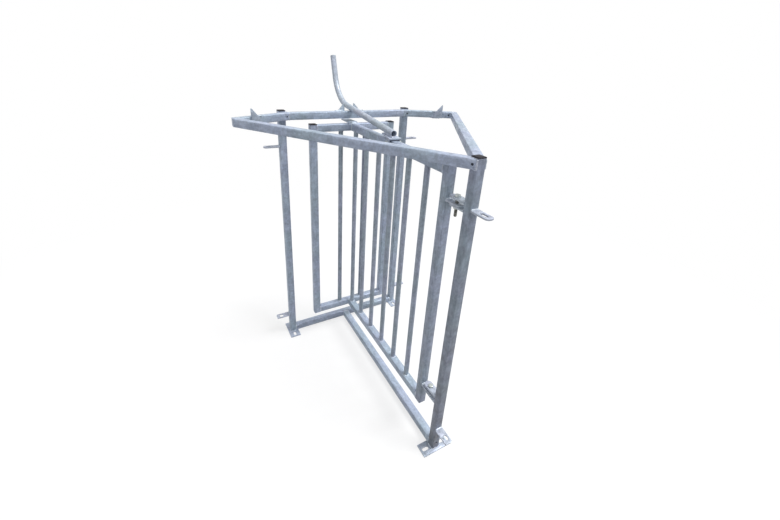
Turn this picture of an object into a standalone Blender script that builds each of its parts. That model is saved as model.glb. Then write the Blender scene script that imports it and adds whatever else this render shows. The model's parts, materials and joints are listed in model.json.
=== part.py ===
"""Sheep sorting gate in galvanised steel tube.

Three posts on foot plates carry a five-sided top ring and a T-shaped base. A T-shaped
gate of rails and round bars swings on two bolted hinges on the hinge post. A lift handle
on its top rail rests on the ring, between catch plates that hold the gate where it is set.

Metres, +Z up. The origin is on the ground, at the middle of the hinge post's foot plate.
+Y runs from the hinge post towards the other two posts, and +X to the right.
"""

import bmesh
import bpy
from math import asin, atan2, cos, hypot, pi, radians, sin, sqrt, tan
from mathutils import Euler, Matrix, Vector

# Driving dimensions

GAP = 0.0003                    # between pieces that touch
OVERCUT = 0.005                 # how far a cutter runs past what it cuts

TUBE = 0.030                    # square tube, outside width
TUBE_WALL = 0.002
TUBE_CORNER = 0.003             # outside corner radius
TUBE_CORNER_STEPS = 3
ARC_PROFILE = 0.5               # bevel profile that gives a circular arc
VENT_DIAMETER = 0.008           # drain holes for the zinc bath
VENT_OVERCUT = 0.002
VENT_STEPS = 16

PLATE = 0.005                   # thickness of feet, lugs, catches and hinge plates
STRAP_WIDTH = 0.030             # width of lugs and hinge plates

FOOT_LENGTH = 0.115
FOOT_WIDTH = 0.050
FOOT_SLOT_LENGTH = 0.028
FOOT_SLOT_WIDTH = 0.014
FOOT_SLOT_OFFSET = 0.037        # slot centre from the post's axis

POST_ABOVE_RING = 0.002
FAR_POST_PAST_KINK = 0.023      # far post's axis beyond the end of the ring's middle beam
FOOT_VENT_HEIGHT = 0.030        # drain hole above the foot plate

CAP_FLANGE = 0.003
CAP_OVERHANG = 0.0005
CAP_EDGE = 0.0008
CAP_EDGE_STEPS = 2
CAP_PLUG_DEPTH = 0.010
END_PLATE = 0.003               # welded plate that closes the hinge stile

RING_TOP = 1.140
RING_MIDDLE_LENGTH = 0.554      # inner face of the middle beam
RING_MIDDLE_Y = 0.814           # inner face of the middle beam
RING_ARC_ANGLE = radians(24.5)     # each arc beam turns back by this from the middle beam
RING_SIDE_ANGLE = radians(34.37)    # each side beam leaves the hinge post at this from +Y
RING_SIDE_START_Y = -0.012          # where its outer face meets the post's side
RING_CORNER_REACH = 0.0278      # from a side corner's inner point out to its clipped end
RING_OVERRUN = 0.060            # how far a beam runs past its mitres before they cut it
ARC_VENT_FROM_KINK = 0.012
ARC_VENT_FROM_CORNER = 0.010
SIDE_VENT_FROM_POST = 0.012

CATCH_BASE = 0.057
CATCH_RISE = 0.034              # above the ring
CATCH_TIP = 0.002               # rounding of the tip
END_CATCH_DISTANCE = 0.180      # stop face from the ring's kink, along the arc beam
CENTRE_CATCH_SPACING = 0.0432   # between the two centre stop faces

UPPER_LUG_TOP = 0.997
UPPER_LUG_REACH = 0.066
UPPER_LUG_HOLE = 0.038          # hole centre from the post's face
UPPER_LUG_HOLE_LENGTH = 0.028
UPPER_LUG_HOLE_WIDTH = 0.013
UPPER_LUG_CORNER = 0.012
LOWER_LUG_TOP = 0.113
LOWER_LUG_REACH = 0.063
LOWER_LUG_HOLE = 0.040
LOWER_LUG_HOLE_DIAMETER = 0.021
LOWER_LUG_CORNER = 0.006

HINGE_Y = 0.060                 # swing axis behind the hinge post's axis
HINGE_TIP = 0.027               # hinge plate past the swing axis
UPPER_HINGE_DOWN = 0.083        # upper hinge's top below the gate's top
LOWER_HINGE_UP = 0.121          # lower hinge's top above the gate's bottom
HINGE_OPENING = 0.014           # free height above the gate's hinge plate
HINGE_PLAY = 0.0005             # gate's hinge plate above the lower fork plate
HINGE_HOLE_CLEARANCE = 0.0005
HINGE_BOLT_DIAMETER = 0.010
UPPER_HINGE_BOLT_LENGTH = 0.063
LOWER_HINGE_BOLT_LENGTH = 0.041
HINGE_BOLT_FLATS = 0.017
HINGE_BOLT_HEAD = 0.0064
HINGE_BOLT_TURN = radians(15)
HINGE_NUT = 0.008
HINGE_NUT_TURN = radians(26)

GATE_BOTTOM = 0.130
GATE_UNDER_RING = 0.018         # free height between the gate's top and the ring
GATE_STILE_Y = 0.111            # hinge stile's axis
GATE_CROSSBAR_Y = 0.796         # axis of the T's head
GATE_WIDTH = 0.402              # over the T's head
STILE_VENT_BELOW_TOP = 0.067
BAR_DIAMETER = 0.020
BAR_STEPS = 20
STEM_BAR_COUNT = 6
STEM_BAR_LAST_GAP = 0.031       # last stem bar's axis before the axis of the T's head
WING_BAR_OFFSET = 0.059

TONGUE_ROOT_WIDTH = 0.044
TONGUE_TIP_WIDTH = 0.040
TONGUE_LENGTH = 0.0895
TONGUE_OVERLAP = 0.011          # how far it lies on the T's head
TONGUE_CORNER = 0.006

PIVOT_Y = 0.446                 # handle's pivot bolt along the top rail
PIVOT_BELOW_TOP = 0.011         # pivot bolt's axis below the rail's top
PIVOT_BOLT_DIAMETER = 0.010
PIVOT_HOLE_CLEARANCE = 0.0005
PIVOT_BOLT_FLATS = 0.016
PIVOT_BOLT_HEAD = 0.0064
PIVOT_NUT = 0.008
PIVOT_BOLT_TAIL = 0.004         # thread past the nut
SADDLE_PLATE = 0.004
SADDLE_FRONT = 0.018            # top plate before the pivot
SADDLE_BACK = 0.060             # top plate past the pivot
SADDLE_FRONT_WIDTH = 0.050
SADDLE_BACK_WIDTH = 0.034
SADDLE_TOP_HEIGHT = 0.0175      # top plate's underside above the pivot
SADDLE_CORNER = 0.003
SADDLE_EAR_INSET = 0.0015       # ear's outer face in from the top plate's front edge
SADDLE_EYE_RADIUS = 0.011       # rounded ear end round the pivot
PIPE_DIAMETER = 0.025
PIPE_WALL = 0.002
PIPE_STRAIGHT = 0.427           # from above the pivot to the bend
PIPE_BEND_RADIUS = 0.164
PIPE_GRIP_ANGLE = radians(72.3)     # grip above the horizontal
PIPE_GRIP_LENGTH = 0.093

CIRCLE_STEPS = 24
FILLET_STEPS = 4
BEND_STEPS = 12

# Places that follow from them

HALF_TUBE = TUBE / 2
RING_BOTTOM = RING_TOP - TUBE
RING_AXIS_Z = RING_TOP - HALF_TUBE
POST_TOP = RING_TOP + POST_ABOVE_RING
TUBE_START = PLATE + GAP        # tubes stand on the foot plates
GATE_TOP = RING_BOTTOM - GATE_UNDER_RING
UPPER_HINGE_TOP = GATE_TOP - UPPER_HINGE_DOWN
LOWER_HINGE_TOP = GATE_BOTTOM + LOWER_HINGE_UP
PIVOT_Z = GATE_TOP - PIVOT_BELOW_TOP
RAIL_AXIS_TOP = GATE_TOP - HALF_TUBE
RAIL_AXIS_BOTTOM = GATE_BOTTOM + HALF_TUBE
END_STILE_X = GATE_WIDTH / 2 - HALF_TUBE
STEM_BAR_PITCH = (GATE_CROSSBAR_Y - STEM_BAR_LAST_GAP - GATE_STILE_Y) / STEM_BAR_COUNT
PIPE_RADIUS = PIPE_DIAMETER / 2
PIPE_AXIS_HEIGHT = SADDLE_TOP_HEIGHT + SADDLE_PLATE + GAP + PIPE_RADIUS

ARC_ALONG = Vector((cos(RING_ARC_ANGLE), -sin(RING_ARC_ANGLE)))
ARC_OUTWARD = Vector((sin(RING_ARC_ANGLE), cos(RING_ARC_ANGLE)))
SIDE_ALONG = Vector((sin(RING_SIDE_ANGLE), cos(RING_SIDE_ANGLE)))
SIDE_INWARD = Vector((-cos(RING_SIDE_ANGLE), sin(RING_SIDE_ANGLE)))
MIDDLE_ALONG = Vector((1, 0))
KINK = Vector((RING_MIDDLE_LENGTH / 2, RING_MIDDLE_Y))
SIDE_START = Vector((HALF_TUBE, RING_SIDE_START_Y))


def far_post_place():
    """The right far post's axis: its inner front corner touches the ring's arc beam."""
    x = KINK.x + FAR_POST_PAST_KINK
    line_x = KINK.x + ARC_OUTWARD.x * (TUBE + GAP)
    line_y = KINK.y + ARC_OUTWARD.y * (TUBE + GAP)
    front_y = line_y - (x - HALF_TUBE - line_x) * tan(RING_ARC_ANGLE)
    return Vector((x, front_y + HALF_TUBE))


FAR_POST = far_post_place()


def handle_slope():
    """The slope at which the pipe, on its saddle, rests on the ring's inner top edge."""
    run = RING_MIDDLE_Y - PIVOT_Y
    rise = RING_TOP + GAP - PIVOT_Z
    underside = PIPE_AXIS_HEIGHT - PIPE_RADIUS
    return atan2(rise, run) - asin(underside / hypot(run, rise))


# Scene, collections and materials

for old in list(bpy.data.objects):
    bpy.data.objects.remove(old, do_unlink=True)

parts = bpy.data.collections.new("sheep_sorting_gate")
cutters = bpy.data.collections.new("cutters")
for group in (parts, cutters):
    bpy.context.scene.collection.children.link(group)


def material(name, colour, roughness, metallic):
    made = bpy.data.materials.new(name)
    made.use_nodes = True
    shader = made.node_tree.nodes["Principled BSDF"]
    shader.inputs["Base Color"].default_value = (*colour, 1)
    shader.inputs["Roughness"].default_value = roughness
    shader.inputs["Metallic"].default_value = metallic
    return made


GALVANISED_TUBE = material("galvanised_tube", (0.36, 0.41, 0.47), 0.45, 0.8)
GALVANISED_PLATE = material("galvanised_plate", (0.40, 0.44, 0.50), 0.50, 0.8)
GALVANISED_BAR = material("galvanised_bar", (0.38, 0.43, 0.48), 0.45, 0.8)
GALVANISED_PIPE = material("galvanised_pipe", (0.45, 0.49, 0.54), 0.40, 0.8)
PLATED_BOLT = material("plated_bolt", (0.55, 0.53, 0.46), 0.35, 0.9)
BLACK_PLASTIC = material("black_plastic", (0.02, 0.02, 0.025), 0.50, 0.0)

# Flat outlines


def circle(centre, radius, steps=CIRCLE_STEPS):
    turns = [2 * pi * step / steps for step in range(steps)]
    return [Vector((centre[0] + radius * cos(turn), centre[1] + radius * sin(turn))) for turn in turns]


def fillet(corners, steps=FILLET_STEPS):
    """An outline from (x, y, radius) corners, each rounded by its own radius."""
    outline = []
    count = len(corners)
    for index, (x, y, radius) in enumerate(corners):
        corner = Vector((x, y))
        if radius <= 0:
            outline.append(corner)
            continue
        before = (Vector(corners[index - 1][:2]) - corner).normalized()
        after = (Vector(corners[(index + 1) % count][:2]) - corner).normalized()
        opening = before.angle(after)
        middle = corner + (before + after).normalized() * radius / sin(opening / 2)
        start = corner + before * radius / tan(opening / 2) - middle
        turn = (pi - opening) * (1 if before.cross(after) < 0 else -1)
        for step in range(steps + 1):
            angle = turn * step / steps
            outline.append(middle + Matrix.Rotation(angle, 2) @ start)
    return outline


def rectangle(centre, length, width, radius=0.0):
    x, y = centre
    signs = ((-1, -1), (1, -1), (1, 1), (-1, 1))
    return fillet([(x + sx * length / 2, y + sy * width / 2, radius) for sx, sy in signs])


def round_ended(start, tip, width):
    """A strap along +X from start, with a half-round end whose top is at tip."""
    end = tip - width / 2
    turns = [-pi / 2 + pi * step / (CIRCLE_STEPS // 2) for step in range(CIRCLE_STEPS // 2 + 1)]
    arc = [Vector((end + width / 2 * cos(turn), width / 2 * sin(turn))) for turn in turns]
    return [Vector((start, -width / 2))] + arc + [Vector((start, width / 2))]


def slot(centre, length, width):
    """A slot along X with round ends."""
    half = length / 2 - width / 2
    right = circle((centre[0] + half, centre[1]), width / 2)
    left = circle((centre[0] - half, centre[1]), width / 2)
    quarter = CIRCLE_STEPS // 4
    return right[-quarter:] + right[:quarter + 1] + left[quarter:-quarter + 1]


def strip(origin, along, near, far, start, end):
    """The part of the plane beside a line, between two distances to its left."""
    across = Vector((-along.y, along.x))
    places = ((start, near), (end, near), (end, far), (start, far))
    return [origin + along * run + across * side for run, side in places]


def clip(outline, point, normal):
    """The outline's part that lies behind the line through point with this normal."""
    kept = []
    for index, here in enumerate(outline):
        before = outline[index - 1]
        here_side = (here - point).dot(normal)
        before_side = (before - point).dot(normal)
        if here_side * before_side < 0:
            kept.append(before.lerp(here, before_side / (before_side - here_side)))
        if here_side <= 0:
            kept.append(here)
    return kept


def handed(outline, hand):
    """The outline itself for the right hand, or its mirror image for the left."""
    if hand > 0:
        return outline
    return [Vector((-point.x, point.y)) for point in reversed(outline)]


# Solids


def add_object(name, data, look=None):
    """Link a part with its material, or a cutter when it has none."""
    made = bpy.data.objects.new(name, data)
    if look:
        data.materials.append(look)
        parts.objects.link(made)
    else:
        made.hide_render = True
        made.display_type = "WIRE"
        cutters.objects.link(made)
    return made


def mesh_object(name, shape, look=None):
    mesh = bpy.data.meshes.new(name)
    bmesh.ops.recalc_face_normals(shape, faces=shape.faces)
    shape.to_mesh(mesh)
    shape.free()
    return add_object(name, mesh, look)


def place(made, location, rotation=(0, 0, 0)):
    made.location = location
    made.rotation_euler = rotation
    return made


def box(name, low, high, look=None):
    shape = bmesh.new()
    bmesh.ops.create_cube(shape, size=1)
    size = [top - bottom for bottom, top in zip(low, high)]
    middle = [(top + bottom) / 2 for bottom, top in zip(low, high)]
    bmesh.ops.scale(shape, vec=size, verts=shape.verts)
    bmesh.ops.translate(shape, vec=middle, verts=shape.verts)
    return mesh_object(name, shape, look)


def cylinder(name, radius, bottom, top, look=None, steps=CIRCLE_STEPS):
    """A cylinder on the Z axis; six steps make a hexagon."""
    shape = bmesh.new()
    bmesh.ops.create_cone(
        shape, cap_ends=True, cap_tris=False, segments=steps,
        radius1=radius, radius2=radius, depth=top - bottom,
    )
    bmesh.ops.translate(shape, vec=(0, 0, (top + bottom) / 2), verts=shape.verts)
    made = mesh_object(name, shape, look)
    shade_round(made)
    return made


def curve_mesh(name, curve, look=None):
    """The closed mesh of a curve, with its caps welded on."""
    bent = bpy.data.objects.new(name + "_curve", curve)
    bpy.context.scene.collection.objects.link(bent)
    bpy.context.view_layer.update()
    mesh = bpy.data.meshes.new_from_object(bent.evaluated_get(bpy.context.evaluated_depsgraph_get()))
    bpy.data.objects.remove(bent, do_unlink=True)
    shape = bmesh.new()
    shape.from_mesh(mesh)
    bmesh.ops.remove_doubles(shape, verts=shape.verts, dist=0.00001)
    bmesh.ops.dissolve_limit(shape, angle_limit=radians(0.5), verts=shape.verts, edges=shape.edges)
    bpy.data.meshes.remove(mesh)
    return mesh_object(name, shape, look)


def plate(name, outlines, bottom, top, look=None):
    """A flat plate on its outline, the further outlines being holes in it."""
    curve = bpy.data.curves.new(name, "CURVE")
    curve.dimensions = "2D"
    curve.fill_mode = "BOTH"
    curve.extrude = (top - bottom) / 2
    for outline in outlines:
        spline = curve.splines.new("POLY")
        spline.points.add(len(outline) - 1)
        spline.use_cyclic_u = True
        for point, corner in zip(spline.points, outline):
            point.co = (corner.x, corner.y, 0, 1)
    made = curve_mesh(name, curve, look)
    made.data.transform(Matrix.Translation((0, 0, (top + bottom) / 2)))
    return made


def upright(heading):
    """The rotation that stands a flat outline up: its X runs along the heading, its Y is up."""
    return Euler((pi / 2, 0, heading))


def cut(made, cutter, operation="DIFFERENCE"):
    modifier = made.modifiers.new(cutter.name, "BOOLEAN")
    modifier.operation = operation
    modifier.solver = "EXACT"
    modifier.object = cutter
    return made


def shade_round(made):
    made.data.shade_smooth()
    made.data.set_sharp_from_angle(angle=radians(35))


def round_long_edges(made, along):
    """Round the edges that run along the tube, as in cold-formed tube."""
    shape = bmesh.new()
    shape.from_mesh(made.data)
    long_edges = []
    for edge in shape.edges:
        run = (edge.verts[1].co - edge.verts[0].co).normalized()
        if abs(run.dot(along)) > 0.9999:
            long_edges.append(edge)
    bmesh.ops.bevel(
        shape, geom=long_edges, offset=TUBE_CORNER, segments=TUBE_CORNER_STEPS,
        profile=ARC_PROFILE, affect="EDGES", clamp_overlap=False,
    )
    shape.to_mesh(made.data)
    shape.free()
    shade_round(made)


def square_tube(name, start, end):
    """An open square tube between two points on its axis."""
    run = Vector(end) - Vector(start)
    length = run.length
    turn = run.to_track_quat("X", "Z").to_euler()
    tube = box(name, (0, -HALF_TUBE, -HALF_TUBE), (length, HALF_TUBE, HALF_TUBE), GALVANISED_TUBE)
    round_long_edges(tube, Vector((1, 0, 0)))
    bore = HALF_TUBE - TUBE_WALL
    cutter = box(name + "_bore", (-OVERCUT, -bore, -bore), (length + OVERCUT, bore, bore))
    place(tube, start, turn)
    place(cutter, start, turn)
    return cut(tube, cutter)


def vent(made, name, point, outward):
    """A drain hole through the wall at a point on a tube's face."""
    hole = cylinder(name, VENT_DIAMETER / 2, -TUBE_WALL - VENT_OVERCUT, VENT_OVERCUT, steps=VENT_STEPS)
    place(hole, point, Vector(outward).to_track_quat("Z", "Y").to_euler())
    return cut(made, hole)


def tube_cap(name, axis_x, axis_y, tube_top):
    """A plastic insert cap: a thin flange on the tube and a plug in its bore."""
    width = TUBE + 2 * CAP_OVERHANG
    flange_outline = rectangle((0, 0), width, width, TUBE_CORNER)
    cap = plate(name, [flange_outline], GAP, GAP + CAP_FLANGE, BLACK_PLASTIC)
    edge = cap.modifiers.new("edge", "BEVEL")
    edge.width = CAP_EDGE
    edge.segments = CAP_EDGE_STEPS
    edge.limit_method = "ANGLE"
    edge.angle_limit = radians(60)
    half = HALF_TUBE - TUBE_WALL - GAP
    plug = box(name + "_plug", (-half, -half, -CAP_PLUG_DEPTH), (half, half, GAP + CAP_FLANGE / 2))
    cut(cap, plug, "UNION")
    for piece in (cap, plug):
        place(piece, (axis_x, axis_y, tube_top))
    return cap


def hex_radius(flats):
    return flats / sqrt(3)


def hex_bolt(name, diameter, flats, head, length, location, rotation):
    """A bolt on its own Z axis, with the underside of its head at its origin."""
    bolt = cylinder(name, diameter / 2, -length, head / 2, PLATED_BOLT)
    top = cylinder(name + "_head", hex_radius(flats), 0, head, steps=6)
    cut(bolt, top, "UNION")
    for piece in (bolt, top):
        place(piece, location, rotation)
    return bolt


def hex_nut(name, diameter, flats, height, location, rotation):
    """A nut on its own Z axis, with its top face at its origin."""
    nut = cylinder(name, hex_radius(flats), -height, 0, PLATED_BOLT, steps=6)
    hole = cylinder(name + "_hole", diameter / 2 + GAP, -height - OVERCUT, OVERCUT)
    cut(nut, hole)
    for piece in (nut, hole):
        place(piece, location, rotation)
    return nut


# Posts, caps and feet


def post(name, x, y):
    return square_tube(name, (x, y, TUBE_START), (x, y, POST_TOP))


def foot(name, x, y, turn):
    """A foot plate under a post, with a slot on each side for a ground pin."""
    slots = [slot((side * FOOT_SLOT_OFFSET, 0), FOOT_SLOT_LENGTH, FOOT_SLOT_WIDTH) for side in (-1, 1)]
    outline = rectangle((0, 0), FOOT_LENGTH, FOOT_WIDTH)
    made = plate(name, [outline] + slots, 0, PLATE, GALVANISED_PLATE)
    return place(made, (x, y, 0), (0, 0, turn))


hinge_post = post("hinge_post", 0, 0)
vent(hinge_post, "hinge_post_vent", (0, -HALF_TUBE, PLATE + FOOT_VENT_HEIGHT), (0, -1, 0))
post("left_post", -FAR_POST.x, FAR_POST.y)
post("right_post", FAR_POST.x, FAR_POST.y)
tube_cap("hinge_post_cap", 0, 0, POST_TOP)
tube_cap("left_post_cap", -FAR_POST.x, FAR_POST.y, POST_TOP)
tube_cap("right_post_cap", FAR_POST.x, FAR_POST.y, POST_TOP)
foot("hinge_post_foot", 0, 0, 0)
foot("left_post_foot", -FAR_POST.x, FAR_POST.y, pi / 2)
foot("right_post_foot", FAR_POST.x, FAR_POST.y, pi / 2)

# Base: a crossbar between the far posts and a stem to the hinge post

base_axis_z = TUBE_START + HALF_TUBE
crossbar_end = FAR_POST.x - HALF_TUBE - GAP
base_crossbar = square_tube(
    "base_crossbar", (-crossbar_end, FAR_POST.y, base_axis_z), (crossbar_end, FAR_POST.y, base_axis_z))
vent(base_crossbar, "base_crossbar_vent",
     (-crossbar_end + VENT_DIAMETER, FAR_POST.y - HALF_TUBE, base_axis_z), (0, -1, 0))
square_tube("base_stem", (0, HALF_TUBE + GAP, base_axis_z), (0, FAR_POST.y - HALF_TUBE - GAP, base_axis_z))

# Top ring: a middle beam, two arc beams and two side beams, mitred where they meet


def side_arc_corner():
    """Where the inner faces of the right arc beam and side beam meet."""
    start = SIDE_START + SIDE_INWARD * TUBE
    offset = start - KINK
    run = (offset.x * SIDE_ALONG.y - offset.y * SIDE_ALONG.x) / ARC_ALONG.cross(SIDE_ALONG)
    return KINK + ARC_ALONG * run


CORNER = side_arc_corner()
RING_EDGE = Vector((CORNER.x + RING_CORNER_REACH, 0))
KINK_MITRE = (MIDDLE_ALONG + ARC_ALONG).normalized()
CORNER_MITRE = (ARC_ALONG - SIDE_ALONG).normalized()
SIDEWAYS = Vector((1, 0))


def before(point, normal):
    """The cut that leaves a beam just short of a mitre plane."""
    return point - normal * GAP / 2, normal


def beyond(point, normal):
    """The cut that starts a beam just past a mitre plane."""
    return point + normal * GAP / 2, -normal


def ring_beam(name, origin, along, length, cuts, bore_cuts, hand):
    """A beam between its mitres, rounded along its length and hollow."""
    start = -RING_OVERRUN
    end = length + RING_OVERRUN
    outline = strip(origin, along, 0, TUBE, start, end)
    bore = strip(origin, along, TUBE_WALL, TUBE - TUBE_WALL, start - OVERCUT, end + OVERCUT)
    for point, normal in cuts:
        outline = clip(outline, point, normal)
    for point, normal in bore_cuts:
        bore = clip(bore, point, normal)
    beam = plate(name, [handed(outline, hand)], RING_BOTTOM, RING_TOP, GALVANISED_TUBE)
    round_long_edges(beam, Vector((along.x * hand, along.y, 0)))
    hollow = plate(name + "_bore", [handed(bore, hand)], RING_BOTTOM + TUBE_WALL, RING_TOP - TUBE_WALL)
    return cut(beam, hollow)


def ring_arc(name, hand):
    length = (CORNER - KINK).length
    cuts = [beyond(KINK, KINK_MITRE), before(CORNER, CORNER_MITRE), (RING_EDGE, SIDEWAYS)]
    bore_cuts = [(RING_EDGE - SIDEWAYS * TUBE_WALL, SIDEWAYS)]
    return ring_beam(name, KINK, ARC_ALONG, length, cuts, bore_cuts, hand)


def ring_side(name, hand):
    """A side beam, notched round the hinge post and halved with the other side beam."""
    length = (CORNER - SIDE_START).length
    start = (SIDE_START, -SIDE_ALONG)
    middle = (Vector((GAP / 2, 0)), -SIDEWAYS)
    cuts = [start, beyond(CORNER, CORNER_MITRE), (RING_EDGE, SIDEWAYS), middle]
    bore_cuts = [(RING_EDGE - SIDEWAYS * TUBE_WALL, SIDEWAYS)]
    beam = ring_beam(name, SIDE_START, SIDE_ALONG, length, cuts, bore_cuts, hand)
    reach = HALF_TUBE + GAP
    notch = box(name + "_notch", (-reach, -reach, RING_BOTTOM - OVERCUT), (reach, reach, RING_TOP + OVERCUT))
    return cut(beam, notch)


def arc_point(distance, height, hand):
    """A point on an arc beam's inner face, measured from the kink."""
    point = KINK + ARC_ALONG * distance
    return point.x * hand, point.y, height


ring_beam(
    "ring_middle", Vector((-KINK.x, KINK.y)), MIDDLE_ALONG, RING_MIDDLE_LENGTH,
    [before(KINK, KINK_MITRE), beyond(Vector((-KINK.x, KINK.y)), Vector((KINK_MITRE.x, -KINK_MITRE.y)))],
    [], 1)
left_arc = ring_arc("ring_left_arc", -1)
right_arc = ring_arc("ring_right_arc", 1)
left_side = ring_side("ring_left_side", -1)
ring_side("ring_right_side", 1)

arc_length = (CORNER - KINK).length
vent(left_arc, "left_arc_vent", arc_point(ARC_VENT_FROM_KINK, RING_AXIS_Z, -1),
     (ARC_OUTWARD.x, -ARC_OUTWARD.y, 0))
vent(right_arc, "right_arc_vent", arc_point(ARC_VENT_FROM_KINK, RING_AXIS_Z, 1),
     (-ARC_OUTWARD.x, -ARC_OUTWARD.y, 0))
vent(right_arc, "right_arc_corner_vent", arc_point(arc_length - ARC_VENT_FROM_CORNER, RING_AXIS_Z, 1),
     (-ARC_OUTWARD.x, -ARC_OUTWARD.y, 0))
side_vent = SIDE_START + SIDE_ALONG * SIDE_VENT_FROM_POST
vent(left_side, "left_side_vent", (-side_vent.x, side_vent.y, RING_AXIS_Z), (SIDE_INWARD.x, -SIDE_INWARD.y, 0))

# Catches: ramped plates that hold the handle, two at the centre and one on each arc beam


def catch(name, stop, heading, facing):
    """A catch plate whose upright stop face is at a point; its ramp falls away along the heading.

    Facing is 1 where the plate stands to the left of its heading, and -1 to the right.
    """
    height = TUBE + CATCH_RISE
    corners = [(0, 0, 0), (CATCH_BASE, 0, 0), (0, height, CATCH_TIP)]
    near = GAP * facing
    far = (GAP + PLATE) * facing
    made = plate(name, [fillet(corners)], min(-near, -far), max(-near, -far), GALVANISED_PLATE)
    return place(made, (stop[0], stop[1], RING_BOTTOM), upright(heading))


centre_stop = CENTRE_CATCH_SPACING / 2
middle_outer_y = RING_MIDDLE_Y + TUBE
catch("centre_left_catch", (-centre_stop, middle_outer_y), pi, -1)
catch("centre_right_catch", (centre_stop, middle_outer_y), 0, 1)
catch("end_left_catch", arc_point(END_CATCH_DISTANCE, 0, -1), RING_ARC_ANGLE, -1)
catch("end_right_catch", arc_point(END_CATCH_DISTANCE, 0, 1), pi - RING_ARC_ANGLE, 1)

# Hurdle lugs: flat straps welded end-on to the posts, a slotted one above and a drilled one below


def hurdle_lug(name, post_axis, heading, top, reach, corner, hole):
    """A strap that points along the heading from a post's face, with its hole."""
    outward = Vector((cos(heading), sin(heading)))
    root = post_axis + outward * (HALF_TUBE + GAP)
    half = STRAP_WIDTH / 2
    outline = fillet([(0, -half, 0), (reach, -half, corner), (reach, half, corner), (0, half, 0)])
    lug = plate(name, [outline, hole], top - PLATE, top, GALVANISED_PLATE)
    return place(lug, (root.x, root.y, 0), (0, 0, heading))


ORIGIN_POST = Vector((0, 0))
LEFT_POST = Vector((-FAR_POST.x, FAR_POST.y))
upper_slot = slot((UPPER_LUG_HOLE, 0), UPPER_LUG_HOLE_LENGTH, UPPER_LUG_HOLE_WIDTH)
lower_hole = circle((LOWER_LUG_HOLE, 0), LOWER_LUG_HOLE_DIAMETER / 2)
lug_places = (("hinge_post", ORIGIN_POST, -pi / 2), ("left_post", LEFT_POST, pi), ("right_post", FAR_POST, 0))
for post_name, post_axis, heading in lug_places:
    hurdle_lug(
        post_name + "_upper_lug", post_axis, heading, UPPER_LUG_TOP, UPPER_LUG_REACH, UPPER_LUG_CORNER,
        upper_slot)
    hurdle_lug(
        post_name + "_lower_lug", post_axis, heading, LOWER_LUG_TOP, LOWER_LUG_REACH, LOWER_LUG_CORNER,
        lower_hole)

# Hinges: two fork plates on the post, one plate on the gate, and a bolt through the three

gate_axis = bpy.data.objects.new("gate_axis", None)
parts.objects.link(gate_axis)
place(gate_axis, (0, HINGE_Y, 0))


def on_gate(made):
    """Carry a piece, which keeps its place, on the gate's swing axis."""
    made.parent = gate_axis
    made.matrix_parent_inverse = Matrix.Translation(gate_axis.location).inverted()
    return made


def hinge_plate(name, root_y, top, facing):
    """A plate from a tube's face, past the swing axis, with its bolt hole; facing is 1 towards +Y."""
    reach = abs(HINGE_Y - root_y)
    outline = round_ended(GAP, reach + HINGE_TIP, STRAP_WIDTH)
    hole = circle((reach, 0), HINGE_BOLT_DIAMETER / 2 + HINGE_HOLE_CLEARANCE)
    made = plate(name, [outline, hole], top - PLATE, top, GALVANISED_PLATE)
    return place(made, (0, root_y, 0), (0, 0, facing * pi / 2))


def hinge(name, top, bolt_length):
    gate_plate_top = top - PLATE - HINGE_OPENING
    lower_plate_top = gate_plate_top - PLATE - HINGE_PLAY
    hinge_plate(name + "_top_fork", HALF_TUBE, top, 1)
    on_gate(hinge_plate(name + "_gate_plate", GATE_STILE_Y - HALF_TUBE, gate_plate_top, -1))
    hinge_plate(name + "_bottom_fork", HALF_TUBE, lower_plate_top, 1)
    hex_bolt(
        name + "_bolt", HINGE_BOLT_DIAMETER, HINGE_BOLT_FLATS, HINGE_BOLT_HEAD, bolt_length,
        (0, HINGE_Y, top + GAP), (0, 0, HINGE_BOLT_TURN))
    hex_nut(
        name + "_nut", HINGE_BOLT_DIAMETER, HINGE_BOLT_FLATS, HINGE_NUT,
        (0, HINGE_Y, lower_plate_top - PLATE - GAP), (0, 0, HINGE_NUT_TURN))


hinge("upper_hinge", UPPER_HINGE_TOP, UPPER_HINGE_BOLT_LENGTH)
hinge("lower_hinge", LOWER_HINGE_TOP, LOWER_HINGE_BOLT_LENGTH)

# Gate: hinge stile, rails, the T's head with its end stiles, and round bars


def gate_stile(name, x, y):
    return on_gate(square_tube(name, (x, y, GATE_BOTTOM), (x, y, GATE_TOP)))


def round_bar(name, x, y):
    """A bar that stands between the bottom and the top rail."""
    low = GATE_BOTTOM + TUBE + GAP
    high = GATE_TOP - TUBE - GAP
    bar = cylinder(name, BAR_DIAMETER / 2, low, high, GALVANISED_BAR, steps=BAR_STEPS)
    return on_gate(place(bar, (x, y, 0)))


gate_stile("hinge_stile", 0, GATE_STILE_Y)
end_plate = plate(
    "hinge_stile_cap", [rectangle((0, 0), TUBE, TUBE, TUBE_CORNER)], GAP, GAP + END_PLATE, GALVANISED_PLATE)
on_gate(place(end_plate, (0, GATE_STILE_Y, GATE_TOP)))
for side, side_name in ((-1, "left"), (1, "right")):
    stile = gate_stile(side_name + "_stile", side * END_STILE_X, GATE_CROSSBAR_Y)
    vent(stile, side_name + "_stile_vent",
         (side * END_STILE_X, GATE_CROSSBAR_Y - HALF_TUBE, GATE_TOP - STILE_VENT_BELOW_TOP), (0, -1, 0))
    on_gate(tube_cap(side_name + "_stile_cap", side * END_STILE_X, GATE_CROSSBAR_Y, GATE_TOP))
    round_bar(side_name + "_wing_bar", side * WING_BAR_OFFSET, GATE_CROSSBAR_Y)

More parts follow.
